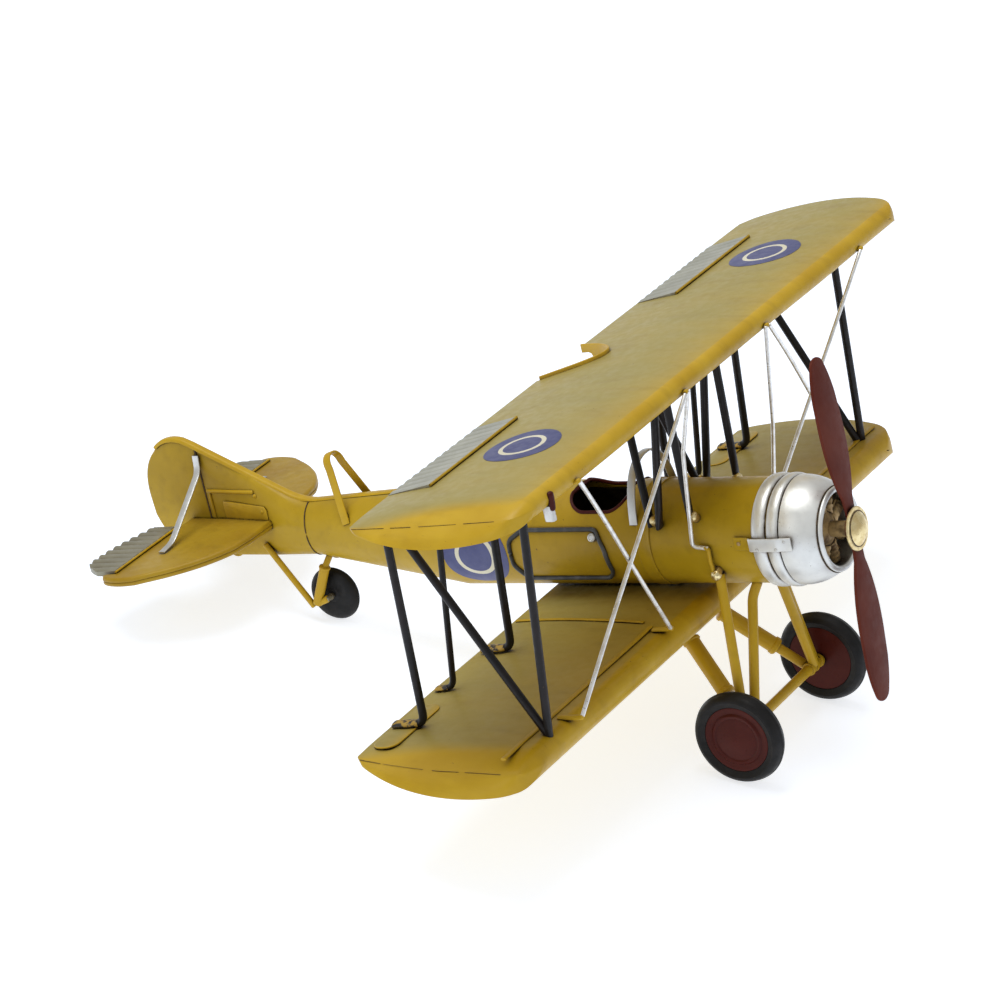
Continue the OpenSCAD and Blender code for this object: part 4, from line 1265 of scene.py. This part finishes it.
def bent_wire(points):
    return sweep(rounded(points, 2.2, 7), WIRE_R, PORT, 16, 0.4)


def make_wires():
    inner_top, outer_top = Vector((-38.6, 33, 68.5)), Vector((-38.6, 115, 68.3))
    low_inner, low_outer = Vector((-60.5, 43.5, -20.4)), Vector((-58, 118, -21.2))
    low_root, low_far = Vector((-60.5, 29.5, -20.8)), Vector((-76, 133.5, -19.8))
    pairs = combined(wire_tab(*tab) for tab in (
        (inner_top, (-6, 0, -1.4)), (outer_top, (-6, 0, -1.2)), (low_inner, (-7.5, 0, -0.8))))
    tabs = pairs.both() + wire_tab(low_outer, (-9, 0, 0)).mirrored()
    tabs = tabs + wire_tab(low_root, (-7.5, 0, -0.4)) + wire_tab(low_far, (-6, 0, -0.6))
    piece("wire_end_tabs", tabs, trim_yellow, ["wire_tabs"])
    start, foot = inner_top + Vector((0.2, 1.4, -0.6)), Vector((0, -0.8, 0.4))
    landing = bowed_wire(start, low_far + foot, 0.5) + bowed_wire(start, low_outer + foot, 0.5).mirrored()
    piece("landing_wire_pair", landing, steel, ["landing_wires"])
    start = outer_top + Vector((0, -0.8, -0.6))
    flying = bowed_wire(start, low_root + Vector((0, 0.4, 0.4)), -0.5)
    flying = flying + bowed_wire(start, low_inner + Vector((0, 0.8, 0.4)), -0.5).mirrored()
    piece("flying_wire_pair", flying, steel, ["flying_wires"])
    start = inner_top + Vector((0, -1.2, -0.4))
    wires = bent_wire([start, (-41.2, 33.2, 56.2), (-46.9, 36, 27.9), low_inner + Vector((0, -0.4, 0.4))])
    wires = wires + bent_wire([start, (-50, 26, 41.5), (-57.5, 21.8, 2.6), (-51.6, 21.3, 1.8)]).mirrored()
    piece("fuselage_wire_pair", wires, steel, ["fuselage_wires"])
    hook = rounded([(-52.4, 21.35, 2.0), (-51.2, 21.4, 1.4), (-51.6, 21.2, -3.6), (-51.3, 21.0, -7.4)], 1.2, 5)
    piece("wire_hook", sweep(hook, [(0.95, 0.7)] * len(hook), PORT, 14, 0.4).mirrored(), trim_yellow)


# ---------- undercarriage ----------
def make_gear():
    axle = axle_of("wheel_left_spin")
    ax, az = axle.x, axle.z
    rear_foot = Vector((ax - 0.6, 29.3, az + 1.4))
    front_foot = Vector((ax + 1.4, 25.2, az + 1.4))
    path = resampled(rounded([(-41.4, 8.4, -17.6), (-43.6, 10.6, -22.6), front_foot], 2.4, 6), 3)
    legs = plain_strut((-50.2, 19.0, -10.2), rear_foot, 1.9) + sweep(path, 1.9, PORT, 24, 0.7)
    piece("gear_leg_tubes", legs.both(), trim_yellow, ["gear_struts"])
    bar = sweep(resampled([(ax, -31.4, az), (ax, 31.4, az)], 4), 2.0, AHEAD, 28, 0.4)
    collar = [(1.9, -0.9), (2.55, -0.75), (2.7, 0), (2.55, 0.75), (1.9, 0.9)]
    collars = combined(turned(collar, (ax, y, az), PORT, 36) for y in (23.4, 27.2, 31.2))
    pins = sweep([(ax, 30.9, az), (ax, 34, az), (ax, 37.3, az)], 1.6, AHEAD, 24, 0.3)
    piece("wheel_axle_tube", bar + (collars + pins).both(), trim_yellow, ["wheel_axle"])
    make_shocks(Vector((ax - 1.4, 26, az - 0.4)), Vector((-73.2, 12.6, -39)))
    for hand, side in (("left", 1), ("right", -1)):
        make_wheel(hand, side, axle)


def make_shocks(foot, top):
    way = (foot - top).normalized()
    length = (foot - top).length
    mouth = length * 0.64
    sleeve = [(0.6, -0.2), (2.9, 0), (3.5, 0.5), (3.6, 1.4), (3.1, 1.8), (3.1, mouth - 2.4), (3.5, mouth - 2.0),
              (3.6, mouth - 0.7), (3.1, mouth), (1.9, mouth + 0.2)]
    stem = [top + Vector((-1.2, -0.3, 9.2)), top + Vector((0.4, 0, 2)), top + Vector((1, 0.4, -1.2))]
    tubes = turned(sleeve, top, way, 48) + sweep(stem, 1.8, PORT, 24, 0.4)
    piece("shock_sleeves", tubes.both(), trim_yellow, ["shock_tubes"])
    rod = sweep(resampled([top + way * (length * 0.62), foot], 3), 1.9, UP, 24, 0.5)
    piece("shock_rods", rod.both(), trim_yellow, ["shock_pistons"])


def tyre_profile(r, w, hub):
    """Half-round tread with three ribs, running from side to side."""
    half, depth = w / 2, r - hub
    wall, bead = (hub + depth * 0.45, half), (hub, half * 0.72)
    points = [(bead[0], -bead[1]), (wall[0], -wall[1])]
    for t in span(-78, 78, 40):
        c, s = cos_sin(t)
        rib = 0.22 * max(0.0, cos_sin(6 * t)[0]) if abs(t) < 50 else 0
        points.append((r - 0.25 - depth * 0.55 * (1 - c) + rib, half * s))
    return points + [wall, bead]


def make_wheel(hand, side, axle):
    centre = Vector((axle.x, axle.y * side, axle.z))
    out = Vector((0, side, 0))
    body = f"wheel_{hand}"
    tyre = turned(tyre_profile(18.2, 7.8, 13.1), centre, out, 120, closed=True)
    piece(f"tyre_{hand}_ribbed", tyre, rubber, [f"tyre_{hand}"], body)
    bore = [(0.001, 1.7), (1.66, 1.7), (1.66, -2.9)]
    rim = [(12.8, -2.7), (13.25, -2.3), (13.3, 2.2), (12.9, 2.75), (12.3, 2.85), (11.8, 2.6), (10.4, 2.45)]
    step = [(10.1, 2.75), (9.6, 3.1), (8.9, 3.05), (8.5, 2.7), (8.1, 2.75)]
    middle = [(5, 3.35), (2.5, 3.8), (0.001, 3.95)]
    disc = turned(bore + rim + step + middle, centre, out, 96)
    piece(f"wheel_disc_{hand}_dome", disc, disc_maroon, [f"wheel_disc_{hand}"], body)


def make_tail_wheel():
    axle = axle_of("tail_wheel_spin")
    ax, az = axle.x, axle.z
    tyre = turned(tyre_profile(11.1, 5.6, 3.0), axle, PORT, 96, closed=True)
    disc = [(1.06, -2.2), (2.6, -2.2), (3.4, -1.9), (3.4, 1.9), (2.6, 2.2), (1.06, 2.2)]
    tyre = tyre + turned(disc, axle, PORT, 48, closed=True)
    piece("tail_tyre_ribbed", tyre, rubber, ["tail_tyre"], "tail_wheel")
    leg_top, knee = Vector((-236.5, -5.6, -12)), Vector((-243.4, -6.4, -27))
    leg = sweep(resampled([(-234.4, -2.2, -7.2), leg_top.lerp(knee, 0.04)], 1.5), 1.3, end=0.4)
    leg = leg + sweep(resampled([leg_top, knee], 2), 2.0, PORT, 24, 0.6)
    collar = turned([(1.3, -0.5), (2.2, -0.4), (2.35, 0), (2.2, 0.5), (1.9, 0.7)], leg_top, knee - leg_top, 32)
    arm = sweep(resampled(rounded([knee, (ax - 0.4, -5.9, az)], 1), 1.2), 1.5, end=0.7)
    piece("tail_leg_tubes", leg + collar + arm, trim_yellow, ["tail_leg"])
    pin = sweep([(ax, -6.5, az), (ax, -2, az), (ax, 3.1, az)], 0.98, AHEAD, 18, 0.3)
    washer = turned([(0.9, -0.4), (1.4, -0.4), (1.4, 0.3), (0.9, 0.35)], (ax, -3.7, az), PORT, 28)
    piece("tail_wheel_pin", pin + washer, grimy_silver)
    brace = sweep(resampled([(-262.3, -5.2, -2.3), (-245.6, -6.4, -28.2)], 3), 1.25)
    piece("tail_brace_tube", brace, trim_yellow, ["tail_brace_rod"])


# ---------- decals ----------
def ring_decal(place, inner, outer):
    """A thin ring laid on a surface. place maps (u, v, height)."""
    rings = []
    for c, s in map(cos_sin, span(0, 355, 72)):
        top = [place(r * c, r * s, PAINT) for r in span(inner, outer, 4)]
        rings.append(top + [place(r * c, r * s, 0.0) for r in span(outer, inner, 4)])
    return skin(rings + rings[:1], capped=False)


def make_decals():
    """A plain disc with one thin light ring, in place of the printed marks."""
    lift = 0.05

    def on_wing(y0):
        def place(u, v, h):
            x, y = -71.8 + u, y0 + v
            z = upper_z(TOP_WING, x)
            return Vector((x, y, z - dent(Vector((x, abs(y), z))) + lift + h))
        return place

    def on_side(hand):
        def place(u, v, h):
            angle = (v - 1.4) / FUSE_R
            r = FUSE_R + lift + h
            return Vector((-155 + u, hand * r * math.cos(angle), r * math.sin(angle)))
        return place

    spots = [on_wing(-94.4), on_wing(99.2), on_side(-1), on_side(1)]
    radius = 14.4
    ring_in, ring_out = radius * 0.5, radius * 0.62
    light = combined(ring_decal(s, ring_in, ring_out) for s in spots)
    blue = combined(ring_decal(s, ring_out, radius) + ring_decal(s, 0.01, ring_in) for s in spots)
    piece("decal_light_rings", light, decal_cream)
    piece("decal_blue_discs", blue, decal_blue)


def finish_kept_nodes():
    """The CAD nodes whose own shape is right get their finish."""
    for name in ("engine_cylinders", "propeller_shaft"):
        node = frame["nodes"][name]
        if not node.material_slots:
            node.data.materials.append(bronze["material"])
        node.material_slots[0].material = bronze["material"]


make_camera()
make_studio()
make_wings()
make_ailerons()
make_cutout_trim()
make_wing_strips()
make_fuselage()
make_spine()
make_tail()
make_tailplane()
make_hoops()
make_clip()
make_door()
make_tail_loops()
make_bolts()
make_cowl()
make_engine()
make_propeller()
make_struts()
make_wires()
make_gear()
make_tail_wheel()
make_decals()
finish_kept_nodes()
